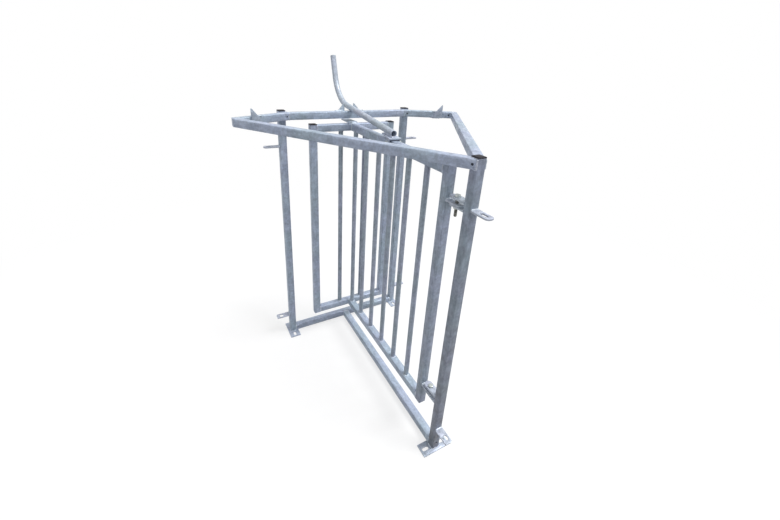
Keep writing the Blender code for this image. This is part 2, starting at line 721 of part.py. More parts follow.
stem_start = GATE_STILE_Y + HALF_TUBE + GAP
stem_end = GATE_CROSSBAR_Y - HALF_TUBE - GAP
head_end = END_STILE_X - HALF_TUBE - GAP
top_rail = on_gate(square_tube("top_rail", (0, stem_start, RAIL_AXIS_TOP), (0, stem_end, RAIL_AXIS_TOP)))
on_gate(square_tube("bottom_rail", (0, stem_start, RAIL_AXIS_BOTTOM), (0, stem_end, RAIL_AXIS_BOTTOM)))
for level_name, level in (("top", RAIL_AXIS_TOP), ("bottom", RAIL_AXIS_BOTTOM)):
    on_gate(square_tube(
        level_name + "_crossbar", (-head_end, GATE_CROSSBAR_Y, level), (head_end, GATE_CROSSBAR_Y, level)))
for number in range(1, STEM_BAR_COUNT + 1):
    round_bar("stem_bar_" + str(number), 0, GATE_STILE_Y + STEM_BAR_PITCH * number)

# Guide tongue: a flat plate on the back of the T's head that runs out under the ring

tongue_outline = fillet([
    (0, -TONGUE_ROOT_WIDTH / 2, 0), (TONGUE_LENGTH, -TONGUE_TIP_WIDTH / 2, TONGUE_CORNER),
    (TONGUE_LENGTH, TONGUE_TIP_WIDTH / 2, TONGUE_CORNER), (0, TONGUE_ROOT_WIDTH / 2, 0),
])
tongue = plate("guide_tongue", [tongue_outline], GATE_TOP + GAP, GATE_TOP + GAP + PLATE, GALVANISED_PLATE)
tongue_root = GATE_CROSSBAR_Y + HALF_TUBE - TONGUE_OVERLAP
on_gate(place(tongue, (0, tongue_root, 0), (0, 0, pi / 2)))

# Lift handle: a bent pipe on a saddle that tilts on a bolt through the top rail

handle_axis = bpy.data.objects.new("handle_axis", None)
parts.objects.link(handle_axis)
place(handle_axis, (0, PIVOT_Y - HINGE_Y, PIVOT_Z), (handle_slope(), 0, 0))
handle_axis.parent = gate_axis

EAR_OUTSIDE = SADDLE_FRONT_WIDTH / 2 - SADDLE_EAR_INSET
EAR_INSIDE = EAR_OUTSIDE - SADDLE_PLATE
PIVOT_HOLE_RADIUS = PIVOT_BOLT_DIAMETER / 2 + PIVOT_HOLE_CLEARANCE


def on_handle(made):
    made.parent = handle_axis
    return made


def handle_saddle():
    """A tapered top plate under the pipe, with two ears down to the pivot bolt."""
    front_half = SADDLE_FRONT_WIDTH / 2
    back_half = SADDLE_BACK_WIDTH / 2
    top_outline = fillet([
        (-front_half, -SADDLE_FRONT, SADDLE_CORNER), (front_half, -SADDLE_FRONT, SADDLE_CORNER),
        (back_half, SADDLE_BACK, SADDLE_CORNER), (-back_half, SADDLE_BACK, SADDLE_CORNER),
    ])
    saddle = plate(
        "handle_saddle", [top_outline], SADDLE_TOP_HEIGHT, SADDLE_TOP_HEIGHT + SADDLE_PLATE, GALVANISED_PLATE)
    eye = SADDLE_EYE_RADIUS
    ear_top = SADDLE_TOP_HEIGHT + SADDLE_PLATE / 2
    ear_outline = fillet([(-eye, -eye, eye), (eye, -eye, eye), (eye, ear_top, 0), (-eye, ear_top, 0)])
    for side, side_name in ((-1, "left"), (1, "right")):
        inner, outer = sorted((side * EAR_INSIDE, side * EAR_OUTSIDE))
        ear = plate("handle_saddle_" + side_name + "_ear", [ear_outline], inner, outer)
        cut(saddle, on_handle(place(ear, (0, 0, 0), upright(pi / 2))), "UNION")
    hole = cylinder("handle_saddle_hole", PIVOT_HOLE_RADIUS, -EAR_OUTSIDE - OVERCUT, EAR_OUTSIDE + OVERCUT)
    cut(saddle, on_handle(place(hole, (0, 0, 0), (0, pi / 2, 0))))
    return on_handle(saddle)


def pipe_route():
    """The pipe's axis: straight over the saddle, one bend, and the grip."""
    slope = handle_slope()
    bend = PIPE_GRIP_ANGLE - slope
    centre = Vector((0, PIPE_STRAIGHT, PIPE_AXIS_HEIGHT + PIPE_BEND_RADIUS))
    route = [Vector((0, 0, PIPE_AXIS_HEIGHT))]
    for step in range(BEND_STEPS + 1):
        turn = bend * step / BEND_STEPS
        route.append(centre + Vector((0, sin(turn), -cos(turn))) * PIPE_BEND_RADIUS)
    route.append(route[-1] + Vector((0, cos(bend), sin(bend))) * PIPE_GRIP_LENGTH)
    return route


def pipe_solid(name, route, radius, look=None):
    curve = bpy.data.curves.new(name, "CURVE")
    curve.dimensions = "3D"
    curve.bevel_depth = radius
    curve.bevel_resolution = 6
    curve.use_fill_caps = True
    spline = curve.splines.new("POLY")
    spline.points.add(len(route) - 1)
    for point, place_on_route in zip(spline.points, route):
        point.co = (*place_on_route, 1)
    made = curve_mesh(name, curve, look)
    shade_round(made)
    return made


def handle_pipe():
    route = pipe_route()
    pipe = pipe_solid("handle_pipe", route, PIPE_RADIUS, GALVANISED_PIPE)
    past_start = (route[0] - route[1]).normalized() * OVERCUT
    past_end = (route[-1] - route[-2]).normalized() * OVERCUT
    longer = [route[0] + past_start] + route[1:-1] + [route[-1] + past_end]
    bore = pipe_solid("handle_pipe_bore", longer, PIPE_RADIUS - PIPE_WALL)
    cut(pipe, on_handle(bore))
    return on_handle(pipe)


handle_saddle()
handle_pipe()

pivot_hole = cylinder("top_rail_pivot_hole", PIVOT_HOLE_RADIUS, -TUBE, TUBE)
place(pivot_hole, (0, PIVOT_Y, PIVOT_Z), (0, pi / 2, 0))
cut(top_rail, pivot_hole)
bearing = EAR_OUTSIDE + GAP
pivot_bolt_length = 2 * bearing + PIVOT_NUT + PIVOT_BOLT_TAIL
on_gate(hex_bolt(
    "pivot_bolt", PIVOT_BOLT_DIAMETER, PIVOT_BOLT_FLATS, PIVOT_BOLT_HEAD, pivot_bolt_length,
    (-bearing, PIVOT_Y, PIVOT_Z), (0, -pi / 2, 0)))
on_gate(hex_nut(
    "pivot_nut", PIVOT_BOLT_DIAMETER, PIVOT_BOLT_FLATS, PIVOT_NUT,
    (bearing, PIVOT_Y, PIVOT_Z), (0, -pi / 2, 0)))

bpy.context.view_layer.update()
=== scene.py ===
import json
from math import asin, atan2, cos, hypot, pi, radians, sin, sqrt, tan

import bmesh
import bpy
from mathutils import Matrix, Vector


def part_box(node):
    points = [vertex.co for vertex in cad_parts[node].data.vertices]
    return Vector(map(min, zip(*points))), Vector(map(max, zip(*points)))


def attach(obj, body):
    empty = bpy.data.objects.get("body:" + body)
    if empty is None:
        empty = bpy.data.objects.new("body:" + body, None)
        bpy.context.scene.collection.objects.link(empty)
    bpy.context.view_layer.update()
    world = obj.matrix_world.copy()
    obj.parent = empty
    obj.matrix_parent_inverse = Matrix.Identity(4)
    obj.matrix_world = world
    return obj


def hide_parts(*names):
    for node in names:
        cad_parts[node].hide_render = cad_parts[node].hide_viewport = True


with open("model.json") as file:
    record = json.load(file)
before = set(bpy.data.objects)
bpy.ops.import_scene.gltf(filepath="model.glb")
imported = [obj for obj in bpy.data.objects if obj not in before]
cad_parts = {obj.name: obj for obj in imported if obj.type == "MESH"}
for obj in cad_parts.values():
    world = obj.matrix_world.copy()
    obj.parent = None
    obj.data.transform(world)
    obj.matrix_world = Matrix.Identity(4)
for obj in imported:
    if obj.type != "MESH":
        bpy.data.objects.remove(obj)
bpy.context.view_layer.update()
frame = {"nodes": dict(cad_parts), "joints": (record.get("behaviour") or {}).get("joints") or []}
nodes = frame["nodes"]


# Posts
#
# Three uprights of cold-formed 30 mm square steel tube. The finished frame was dipped whole in
# molten zinc, which ran down the steel and set to a dull, cloudy blue grey.

ZINC_CLOUD = 0.016              # pale and dark clouds across the run of the zinc
ZINC_CLOUD_RUN = 0.048          # and along it
ZINC_STREAK = 0.0045            # narrow streaks across the run
ZINC_STREAK_RUN = 0.110
ZINC_REFLECTION_PATCH = 0.130              # wide patches of painted reflection, lilac for sky and green for ground
ZINC_SMOKE = 0.024              # smoky patches where the iron shows through the coat
ZINC_MOTTLE = 0.009             # blotches of duller crystals
ZINC_CRYSTAL = 0.004            # crystals, drawn as coarse as they need to show
ZINC_SWELL = 0.007              # slow waves in the coat
ZINC_GRAIN = 0.0022
ZINC_SWELL_HEIGHT = 0.00016
ZINC_GRAIN_HEIGHT = 0.00005
ZINC_EDGE_HIGHLIGHT = 0.0016               # painted highlight on the edges, for light catching the rounded corners where the coat is drained thin
ZINC_EDGE_HIGHLIGHT_SAMPLES = 6
ZINC_METALLIC = 0.22            # low, because a dull skin of oxide covers the metal

STREAK_SHARE = 0.35             # of the streaks in the clouds
REFLECTION_TINT_SHARE = 0.28               # of the painted lilac and green reflections in the colour
CLOUD_RANGE = {"From Min": 0.40, "From Max": 0.90}
REFLECTION_TINT_RANGE = {"From Min": 0.38, "From Max": 0.62}
SMOKE_RANGE = {"From Min": 0.36, "From Max": 0.74}
GRAIN_RANGE = {"From Min": 0.3, "From Max": 0.7, "To Min": 0.92, "To Max": 1.05}
CRYSTAL_RANGE = {"To Min": 0.93, "To Max": 1.04}
MOTTLE_RANGE = {"From Min": 0.34, "From Max": 0.62, "To Min": 0.84, "To Max": 1.05}
EDGE_HIGHLIGHT_RANGE = {"From Min": 0.995, "From Max": 0.86, "To Min": 1, "To Max": 1.22}
ZINC_ROUGHNESS = {"From Min": 0.45, "From Max": 0.9, "To Min": 0.58, "To Max": 0.40}

TUBE_PALE = "#c4d4e9"
TUBE_DEEP = "#99abc1"
TUBE_SMOKE = 0.25
# Painted reflection colours: lilac for a blue sky, green for grassy ground
SKY_REFLECTION_LILAC = "#b3b0ca"
GROUND_REFLECTION_GREEN = "#9dacab"
ZINC_SMOKY = "#66666d"
SMOKY_PALE = "#a0aec1"          # the hinge post, which came out of the bath duller
SMOKY_DEEP = "#7c8b9f"
SMOKY_SMOKE = 0.45
# painted shade that darkens the hinge post towards the ground
SMOKY_LOW_SHADE = 0.5
LOW_SHADE_TOP = 0.9              # painted shade, as from a dark ground, deepens from here down

UP = Vector((0, 0, 1))
COLOUR_A = 6                    # a Mix node's two colour sockets
COLOUR_B = 7
MIXED_COLOUR = 2                # and its colour output


def linear(colour):
    """An sRGB hex colour as linear red, green, blue and alpha."""
    channels = [int(colour[start:start + 2], 16) / 255 for start in (1, 3, 5)]
    return [c / 12.92 if c <= 0.04045 else ((c + 0.055) / 1.055) ** 2.4 for c in channels] + [1]


def add_node(tree, kind, inputs=None, **settings):
    """A new node with its settings, and its inputs set to values or linked to sockets."""
    node = tree.nodes.new(kind)
    for name, value in settings.items():
        setattr(node, name, value)
    for name, value in (inputs or {}).items():
        if isinstance(value, bpy.types.NodeSocket):
            tree.links.new(value, node.inputs[name])
        else:
            node.inputs[name].default_value = value
    return node


def new_finish(name):
    """A new material with its node tree and its Principled shader."""
    finish = bpy.data.materials.new(name)
    finish.use_nodes = True
    return finish, finish.node_tree, finish.node_tree.nodes["Principled BSDF"]


def hot_dip_zinc(name, run, pale, deep, smoke=TUBE_SMOKE, low_shade=0):
    """Dull hot-dip galvanising: cloudy and streaked along the run of the zinc, soft in its shine, with
    painted reflection tints in patches and a painted highlight along its edges.

    smoke says how grey its smoky patches are, and the last value how much painted shade darkens it near the
    ground.
    """
    finish, tree, shader = new_finish(name)
    shader.inputs["Metallic"].default_value = ZINC_METALLIC
    place = add_node(tree, "ShaderNodeTexCoord").outputs["Object"]
    flow = Vector(run).to_track_quat("X", "Z").to_euler()
    patterns = {}
    sizes = (
        ("cloud", ZINC_CLOUD_RUN, ZINC_CLOUD, 3), ("streak", ZINC_STREAK_RUN, ZINC_STREAK, 2),
        ("reflection_patch", ZINC_REFLECTION_PATCH, ZINC_REFLECTION_PATCH, 1), ("smoke", ZINC_SMOKE, ZINC_SMOKE, 5),
        ("mottle", ZINC_MOTTLE, ZINC_MOTTLE, 3), ("swell", ZINC_SWELL, ZINC_SWELL, 1),
        ("grain", ZINC_GRAIN, ZINC_GRAIN, 2),
    )
    for pattern, along, across, detail in sizes:
        mapped = add_node(tree, "ShaderNodeMapping", {
            "Vector": place, "Rotation": flow, "Scale": (along, across, across)}, vector_type="TEXTURE")
        patterns[pattern] = add_node(tree, "ShaderNodeTexNoise", {
            "Vector": mapped.outputs["Vector"], "Scale": 1, "Detail": detail}).outputs["Fac"]
    crystal_place = add_node(tree, "ShaderNodeMapping", {
        "Vector": place, "Scale": (ZINC_CRYSTAL,) * 3}, vector_type="TEXTURE")
    crystals = add_node(tree, "ShaderNodeTexVoronoi", {
        "Vector": crystal_place.outputs["Vector"], "Scale": 1})

    cloudy = add_node(tree, "ShaderNodeMath", {
        0: patterns["streak"], 1: STREAK_SHARE, 2: patterns["cloud"]}, operation="MULTIPLY_ADD")
    clouds = add_node(tree, "ShaderNodeMapRange", {"Value": cloudy.outputs["Value"], **CLOUD_RANGE})
    tone = add_node(tree, "ShaderNodeMix", {
        0: clouds.outputs["Result"], COLOUR_A: linear(deep), COLOUR_B: linear(pale)}, data_type="RGBA")
    # Painted reflections of sky and ground, laid as random wide patches of lilac and green.
    reflection_patch_mask = add_node(tree, "ShaderNodeMapRange", {"Value": patterns["reflection_patch"], **REFLECTION_TINT_RANGE})
    cast = add_node(tree, "ShaderNodeMix", {
        0: reflection_patch_mask.outputs["Result"], COLOUR_A: linear(GROUND_REFLECTION_GREEN), COLOUR_B: linear(SKY_REFLECTION_LILAC)},
        data_type="RGBA")
    reflection_tinted = add_node(tree, "ShaderNodeMix", {
        0: REFLECTION_TINT_SHARE, COLOUR_A: tone.outputs[MIXED_COLOUR], COLOUR_B: cast.outputs[MIXED_COLOUR]},
        data_type="RGBA")
    height = add_node(tree, "ShaderNodeSeparateXYZ", {"Vector": place}).outputs["Z"]
    # Painted shade: darker towards the ground, from the top height down.
    painted_low_shade = add_node(tree, "ShaderNodeMapRange", {
        "Value": height, "From Min": LOW_SHADE_TOP, "From Max": 0, "To Max": low_shade})
    haze = add_node(tree, "ShaderNodeMapRange", {
        "Value": patterns["smoke"], "To Max": smoke, **SMOKE_RANGE})
    smoke_and_low_shade = add_node(tree, "ShaderNodeMath", {
        0: haze.outputs["Result"], 1: painted_low_shade.outputs["Result"]}, use_clamp=True)
    # Real smoky patches and the painted shade low down both pull the colour to smoky grey.
    smoky = add_node(tree, "ShaderNodeMix", {
        0: smoke_and_low_shade.outputs["Value"], COLOUR_A: reflection_tinted.outputs[MIXED_COLOUR],
        COLOUR_B: linear(ZINC_SMOKY)}, data_type="RGBA")
    speckle = add_node(tree, "ShaderNodeMapRange", {"Value": patterns["grain"], **GRAIN_RANGE})
    sparkle = add_node(tree, "ShaderNodeMapRange", {"Value": crystals.outputs["Color"], **CRYSTAL_RANGE})
    mottle = add_node(tree, "ShaderNodeMapRange", {"Value": patterns["mottle"], **MOTTLE_RANGE})
    mottled = add_node(tree, "ShaderNodeMath", {
        0: mottle.outputs["Result"], 1: speckle.outputs["Result"]}, operation="MULTIPLY")
    lustre = add_node(tree, "ShaderNodeMath", {
        0: sparkle.outputs["Result"], 1: mottled.outputs["Value"]}, operation="MULTIPLY")
    # A painted highlight: the colour is lightened where the Bevel normal turns from the true one, along
    # convex edges.
    rounded = add_node(tree, "ShaderNodeBevel", {"Radius": ZINC_EDGE_HIGHLIGHT}, samples=ZINC_EDGE_HIGHLIGHT_SAMPLES)
    straight = add_node(tree, "ShaderNodeNewGeometry").outputs["True Normal"]
    turned = add_node(tree, "ShaderNodeVectorMath", {
        0: rounded.outputs["Normal"], 1: straight}, operation="DOT_PRODUCT")
    painted_edge_highlight = add_node(tree, "ShaderNodeMapRange", {"Value": turned.outputs["Value"], **EDGE_HIGHLIGHT_RANGE})
    bright = add_node(tree, "ShaderNodeMath", {
        0: lustre.outputs["Value"], 1: painted_edge_highlight.outputs["Result"]}, operation="MULTIPLY")
    colour = add_node(tree, "ShaderNodeHueSaturation", {
        "Value": bright.outputs["Value"], "Color": smoky.outputs[MIXED_COLOUR]})
    tree.links.new(colour.outputs["Color"], shader.inputs["Base Color"])

    dullness = add_node(tree, "ShaderNodeMapRange", {"Value": cloudy.outputs["Value"], **ZINC_ROUGHNESS})
    tree.links.new(dullness.outputs["Result"], shader.inputs["Roughness"])
    swell = add_node(tree, "ShaderNodeBump", {"Height": patterns["swell"], "Distance": ZINC_SWELL_HEIGHT})
    grain = add_node(tree, "ShaderNodeBump", {
        "Height": patterns["grain"], "Distance": ZINC_GRAIN_HEIGHT, "Normal": swell.outputs["Normal"]})
    tree.links.new(grain.outputs["Normal"], shader.inputs["Normal"])
    return finish


upright_zinc = hot_dip_zinc("hot_dip_zinc_upright", UP, TUBE_PALE, TUBE_DEEP)
# The hinge post's zinc, with painted shade near the ground.
smoky_low_shaded_zinc = hot_dip_zinc(
    "hot_dip_zinc_smoky_low_shaded", UP, SMOKY_PALE, SMOKY_DEEP, SMOKY_SMOKE, SMOKY_LOW_SHADE)

SHARP_ANGLE = radians(33)       # an edge that bends by more looks sharp
SOFT_ANGLE = radians(40)        # and one that bends by this is softened
SOFT_SEGMENTS = 2
FLAT_ANGLE = radians(0.5)
JOIN_DISTANCE = 0.00001

crisp_edges = bpy.data.node_groups.new("crisp_edges", "GeometryNodeTree")
crisp_edges.interface.new_socket("Geometry", in_out="INPUT", socket_type="NodeSocketGeometry")
crisp_edges.interface.new_socket("Geometry", in_out="OUTPUT", socket_type="NodeSocketGeometry")
bend = add_node(crisp_edges, "GeometryNodeInputMeshEdgeAngle").outputs["Unsigned Angle"]
is_edge = add_node(crisp_edges, "FunctionNodeCompare", {
    "A": bend, "B": SHARP_ANGLE}, operation="GREATER_THAN")
shaded = add_node(crisp_edges, "GeometryNodeSetMeshNormal", {
    "Mesh": add_node(crisp_edges, "NodeGroupInput").outputs["Geometry"],
    "Remove Custom": True, "Edge Sharpness": is_edge.outputs["Result"]}, mode="SHARPNESS")
add_node(crisp_edges, "NodeGroupOutput", {"Geometry": shaded.outputs["Mesh"]})


def finish_node(name, finish, edge=0):
    """Give a CAD node its finish, shade its curves smooth, and soften its edges by a radius."""
    piece = nodes[name]
    for slot in piece.material_slots:
        slot.material = finish
    piece.modifiers.new("join", "WELD").merge_threshold = JOIN_DISTANCE
    if edge:
        flat = piece.modifiers.new("flat", "DECIMATE")
        flat.decimate_type = "DISSOLVE"
        flat.angle_limit = FLAT_ANGLE
        soft = piece.modifiers.new("soft", "BEVEL")
        soft.width = edge
        soft.segments = SOFT_SEGMENTS
        soft.limit_method = "ANGLE"
        soft.angle_limit = SOFT_ANGLE
    piece.modifiers.new("shade", "NODES").node_group = crisp_edges


POST_NAMES = ("hinge_post", "left_post", "right_post")
for post_name in POST_NAMES:
    finish_node(post_name, smoky_low_shaded_zinc if post_name == "hinge_post" else upright_zinc)


# Post feet and their welds
#
# Each post stands on a guillotined 5 mm plate with a slot on each side for a ground pin. The
# welds were laid before galvanising, so their ripples are coated too and only a little paler.

PLATE_PALE = "#cbd7e8"
PLATE_DEEP = "#a5b4c6"
PLATE_EDGE = 0.0006             # a zinc coat rounds a cut edge
WELD_PALE = "#e6edf6"
WELD_DEEP = "#b6c3d2"
WELD_RIPPLE = 0.0034            # about twice the real spacing, so that it shows
WELD_SWELL = 0.0127             # a bead also swells slowly along its length
WELD_STEP = 0.0011
WELD_LEAST_STEPS = 4
WELD_SIDES = 10
WELD_PHASES = (311, 173, 97)    # by place, so that no two beads ripple alike
BEAD_BODY = 0.90                # shares of a bead's radius: between its ripples,
BEAD_RIPPLE = 0.13              # in a ripple,
BEAD_SWELL = 0.06               # in the slow swelling,
BEAD_TIP = 0.04                 # and at its very end, squared
TUBE_WELD = 0.0034
TUBE_WELD_DEPTH = 0.0016        # how far a bead's middle lies inside the tube's face
TUBE_CORNER = 0.003
TUBE_CORNER_STEPS = 3

tube_low, tube_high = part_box("hinge_post")
TUBE = tube_high.x - tube_low.x
EAST = Vector((1, 0, 0))
NORTH = Vector((0, 1, 0))

plate_zinc = hot_dip_zinc("hot_dip_zinc_plate", EAST, PLATE_PALE, PLATE_DEEP)
weld_zinc = hot_dip_zinc("hot_dip_zinc_weld", UP, WELD_PALE, WELD_DEEP)


def skin(name, lofts, finish, body):
    """One piece from lofts, each a list of rings of points; a loft marked round joins its ends."""
    shape = bmesh.new()
    for rings, is_round in lofts:
        rows = [[shape.verts.new(point) for point in ring] for ring in rings]
        pairs = list(zip(rows, rows[1:]))
        if is_round:
            pairs.append((rows[-1], rows[0]))
        else:
            shape.faces.new(rows[0])
            shape.faces.new(rows[-1])
        for here, there in pairs:
            for index, corner in enumerate(here):
                shape.faces.new((here[index - 1], corner, there[index], there[index - 1]))
    bmesh.ops.recalc_face_normals(shape, faces=shape.faces)
    mesh = bpy.data.meshes.new(name)
    shape.to_mesh(mesh)
    shape.free()
    mesh.shade_smooth()
    mesh.set_sharp_from_angle(angle=SHARP_ANGLE)
    mesh.materials.append(finish)
    piece = bpy.data.objects.new(name, mesh)
    bpy.context.scene.collection.objects.link(piece)
    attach(piece, body)
    return piece


def full_turn(count):
    """Angles at an even spacing, once round."""
    return [2 * pi * number / count for number in range(count)]


def evenly(path, step, is_round):
    """Points at an even spacing along a path of straight lines, and that spacing."""
    corners = list(path) + ([path[0]] if is_round else [])
    ends = [0.0]
    for here, there in zip(corners, corners[1:]):
        ends.append(ends[-1] + (there - here).length)
    count = max(WELD_LEAST_STEPS, round(ends[-1] / step))
    points = []
    leg = 0
    for index in range(count if is_round else count + 1):
        distance = ends[-1] * index / count
        while leg < len(ends) - 2 and ends[leg + 1] < distance:
            leg += 1
        share = (distance - ends[leg]) / (ends[leg + 1] - ends[leg])
        points.append(corners[leg].lerp(corners[leg + 1], share))
    return points, ends[-1] / count


def bead(path, radius, facing, is_round=False):
    """A rippled weld bead along a path that is square to one direction all along."""
    points, step = evenly([Vector(point) for point in path], WELD_STEP, is_round)
    facing = Vector(facing)
    start = sum(place * phase for place, phase in zip(points[0], WELD_PHASES))
    turns = full_turn(WELD_SIDES)
    rings = []
    for index, point in enumerate(points):
        if is_round:
            along = points[(index + 1) % len(points)] - points[index - 1]
        else:
            along = points[min(index + 1, len(points) - 1)] - points[max(index - 1, 0)]
        side = along.normalized().cross(facing)
        run = index * step
        ripple = abs(sin(pi * run / WELD_RIPPLE + start))
        swelling = sin(2 * pi * run / WELD_SWELL + start)
        size = radius * (BEAD_BODY + BEAD_RIPPLE * ripple + BEAD_SWELL * swelling)
        if not is_round:
            left = min(run, (len(points) - 1 - index) * step)
            size *= sqrt(max(BEAD_TIP, 1 - (1 - min(1, left / radius)) ** 2))
        rings.append([point + (facing * cos(turn) + side * sin(turn)) * size for turn in turns])
    return rings, is_round


def rounded_outline(half_width, half_height, corner, steps):
    """Points round a rectangle with rounded corners, as distances right and up from its middle."""
    outline = []
    for quarter, (sx, sy) in enumerate(((1, 1), (-1, 1), (-1, -1), (1, -1))):
        for part in range(steps + 1):
            turn = pi / 2 * (quarter + part / steps)
            right = sx * (half_width - corner) + corner * cos(turn)
            high = sy * (half_height - corner) + corner * sin(turn)
            outline.append((right, high))
    return outline


def tube_loop(centre, across, up, width=TUBE, height=TUBE):
    """The path of a weld all round a square tube, just inside its faces."""
    outline = rounded_outline(
        width / 2 - TUBE_WELD_DEPTH, height / 2 - TUBE_WELD_DEPTH, TUBE_CORNER, TUBE_CORNER_STEPS)
    return [centre + across * right + up * high for right, high in outline]


foot_welds = []
for post_name in POST_NAMES:
    finish_node(post_name + "_foot", plate_zinc, PLATE_EDGE)
    low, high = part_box(post_name + "_foot")
    centre = (low + high) / 2
    centre.z = high.z
    foot_welds.append(bead(tube_loop(centre, EAST, NORTH), TUBE_WELD, UP, True))
skin("foot_welds", foot_welds, weld_zinc, "frame")


# Base
#
# A crossbar between the far posts and a stem to the hinge post, both of the same square tube,
# lying on the ground and welded all round at their ends.

across_zinc = hot_dip_zinc("hot_dip_zinc_across", EAST, TUBE_PALE, TUBE_DEEP)
lengthways_zinc = hot_dip_zinc("hot_dip_zinc_lengthways", NORTH, TUBE_PALE, TUBE_DEEP)


def end_welds(node, axis):
    """The weld loops round both ends of a square tube that runs along X (0) or Y (1)."""
    low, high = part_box(node)
    facing, across = (EAST, NORTH) if axis == 0 else (NORTH, EAST)
    loops = []
    for end in (low, high):
        centre = (low + high) / 2
        centre[axis] = end[axis]
        loops.append(bead(tube_loop(centre, across, UP), TUBE_WELD, facing, True))
    return loops


finish_node("base_crossbar", across_zinc)
finish_node("base_stem", lengthways_zinc)
skin("base_welds", end_welds("base_crossbar", 0) + end_welds("base_stem", 1), weld_zinc, "frame")


# Top ring
#
# Five lengths of the square tube, sawn to mitres and welded into a closed ring that joins the
# three posts at the top. The two side beams wrap round the hinge post.

ARC_ANGLE = radians(24.5)       # each arc beam turns back by this from the middle beam
SIDE_ANGLE = radians(34.37)     # each side beam leaves the hinge post at this from +Y
SIDE_START_Y = -0.012
SEAM_WELD = 0.0030
POST_TOP_WELD = 0.0022          # round the hinge post, above and below the beams

ring_low, ring_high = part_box("ring_middle")
RING_BOTTOM = ring_low.z
RING_TOP = ring_high.z
RING_MIDDLE_Z = (RING_BOTTOM + RING_TOP) / 2
KINK = Vector((ring_high.x - TUBE * tan(ARC_ANGLE / 2), ring_low.y, RING_MIDDLE_Z))
ARC_ALONG = Vector((cos(ARC_ANGLE), -sin(ARC_ANGLE), 0))
SIDE_ALONG = Vector((sin(SIDE_ANGLE), cos(SIDE_ANGLE), 0))
SIDE_INWARD = Vector((-cos(SIDE_ANGLE), sin(SIDE_ANGLE), 0))
side_start = Vector((TUBE / 2, SIDE_START_Y, RING_MIDDLE_Z)) + SIDE_INWARD * TUBE
arc_length = (side_start - KINK).cross(SIDE_ALONG).z / ARC_ALONG.cross(SIDE_ALONG).z
CORNER = KINK + ARC_ALONG * arc_length
ring_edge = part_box("ring_right_arc")[1].x


def mirrored(point):
    """The same point or direction on the object's other side."""
    return Vector((-point.x, point.y, point.z))


def seam_weld(inner, seam, width, is_left):
    """The weld round a mitre, from the beams' inner corner out along the seam."""
    centre = inner + seam * width / 2
    facing = seam.cross(UP)
    if is_left:
        centre, seam, facing = mirrored(centre), mirrored(seam), mirrored(facing)
    return bead(tube_loop(centre, seam, UP, width), SEAM_WELD, facing, True)


kink_seam = Vector((sin(ARC_ANGLE / 2), cos(ARC_ANGLE / 2), 0))
corner_seam = (ARC_ALONG - SIDE_ALONG).normalized().cross(UP) * -1
corner_width = (ring_edge - CORNER.x) / corner_seam.x - SEAM_WELD
ring_welds = []
for is_left in (True, False):
    ring_welds.append(seam_weld(KINK, kink_seam, TUBE / cos(ARC_ANGLE / 2), is_left))
    ring_welds.append(seam_weld(CORNER, corner_seam, corner_width, is_left))

finish_node("ring_middle", across_zinc)
for side_name, hand in (("left", -1), ("right", 1)):
    for beam_name, along in (("arc", ARC_ALONG), ("side", SIDE_ALONG)):
        beam = side_name + "_" + beam_name
        flow = (along.x * hand, along.y, 0)
        finish_node("ring_" + beam, hot_dip_zinc("hot_dip_zinc_" + beam, flow, TUBE_PALE, TUBE_DEEP))

half = TUBE / 2
around_post = [(-half, SIDE_START_Y), (-half, half), (half, half), (half, SIDE_START_Y)]
for level in (RING_BOTTOM, RING_TOP):
    ring_welds.append(bead([(x, y, level) for x, y in around_post], POST_TOP_WELD, UP))


def upright_weld(x, y):
    """A weld up the whole height of the ring."""
    return bead([(x, y, RING_BOTTOM), (x, y, RING_TOP)], SEAM_WELD, NORTH)


# The side beams meet the hinge post's front corners, and the arc beams' inner edges touch the far
# posts' inner corners.
far_post_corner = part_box("right_post")[0]
ring_welds += [upright_weld(hand * half, SIDE_START_Y) for hand in (-1, 1)]
ring_welds += [upright_weld(hand * far_post_corner.x, far_post_corner.y) for hand in (-1, 1)]
skin("ring_welds", ring_welds, weld_zinc, "frame")


# Post caps
#
# Square insert caps of black polyethylene, moulded with a low dome and a soft edge, pushed into
# the ends of the tubes until the flange sits down.

CAP_BLACK = "#0d0a11"
CAP_WORN = "#221d28"
CAP_SHINE = 0.2
CAP_GRAIN = 0.0009              # moulded grain
CAP_GRAIN_HEIGHT = 0.00005
CAP_SMEAR = 0.012               # dusty smears
CAP_DUST_RANGE = {"From Min": 0.4, "From Max": 0.75}
CAP_ROUGHNESS = {"To Min": 0.38, "To Max": 0.62}
CAP_FLANGE = 0.003
CAP_CORNER = 0.0032
CAP_PLUG_INSET = 0.0028         # the plug is narrower than the flange by this on each side
CAP_PLUG_CORNER = 0.0015
CAP_EDGE = 0.0012               # the flange's soft edge, in and down
CAP_EDGE_IN = 0.0004            # and the point halfway round it
CAP_EDGE_DOWN = 0.0005
CAP_DOME = 0.0010               # the dome's rise above the flange
CAP_SHOULDER = 0.6              # the dome's shoulder, as a share of the half width
CAP_SHOULDER_RISE = 0.7         # and of the rise
CAP_CROWN = 0.25
CAP_CROWN_CORNER = 0.0025
CAP_CORNER_STEPS = 6


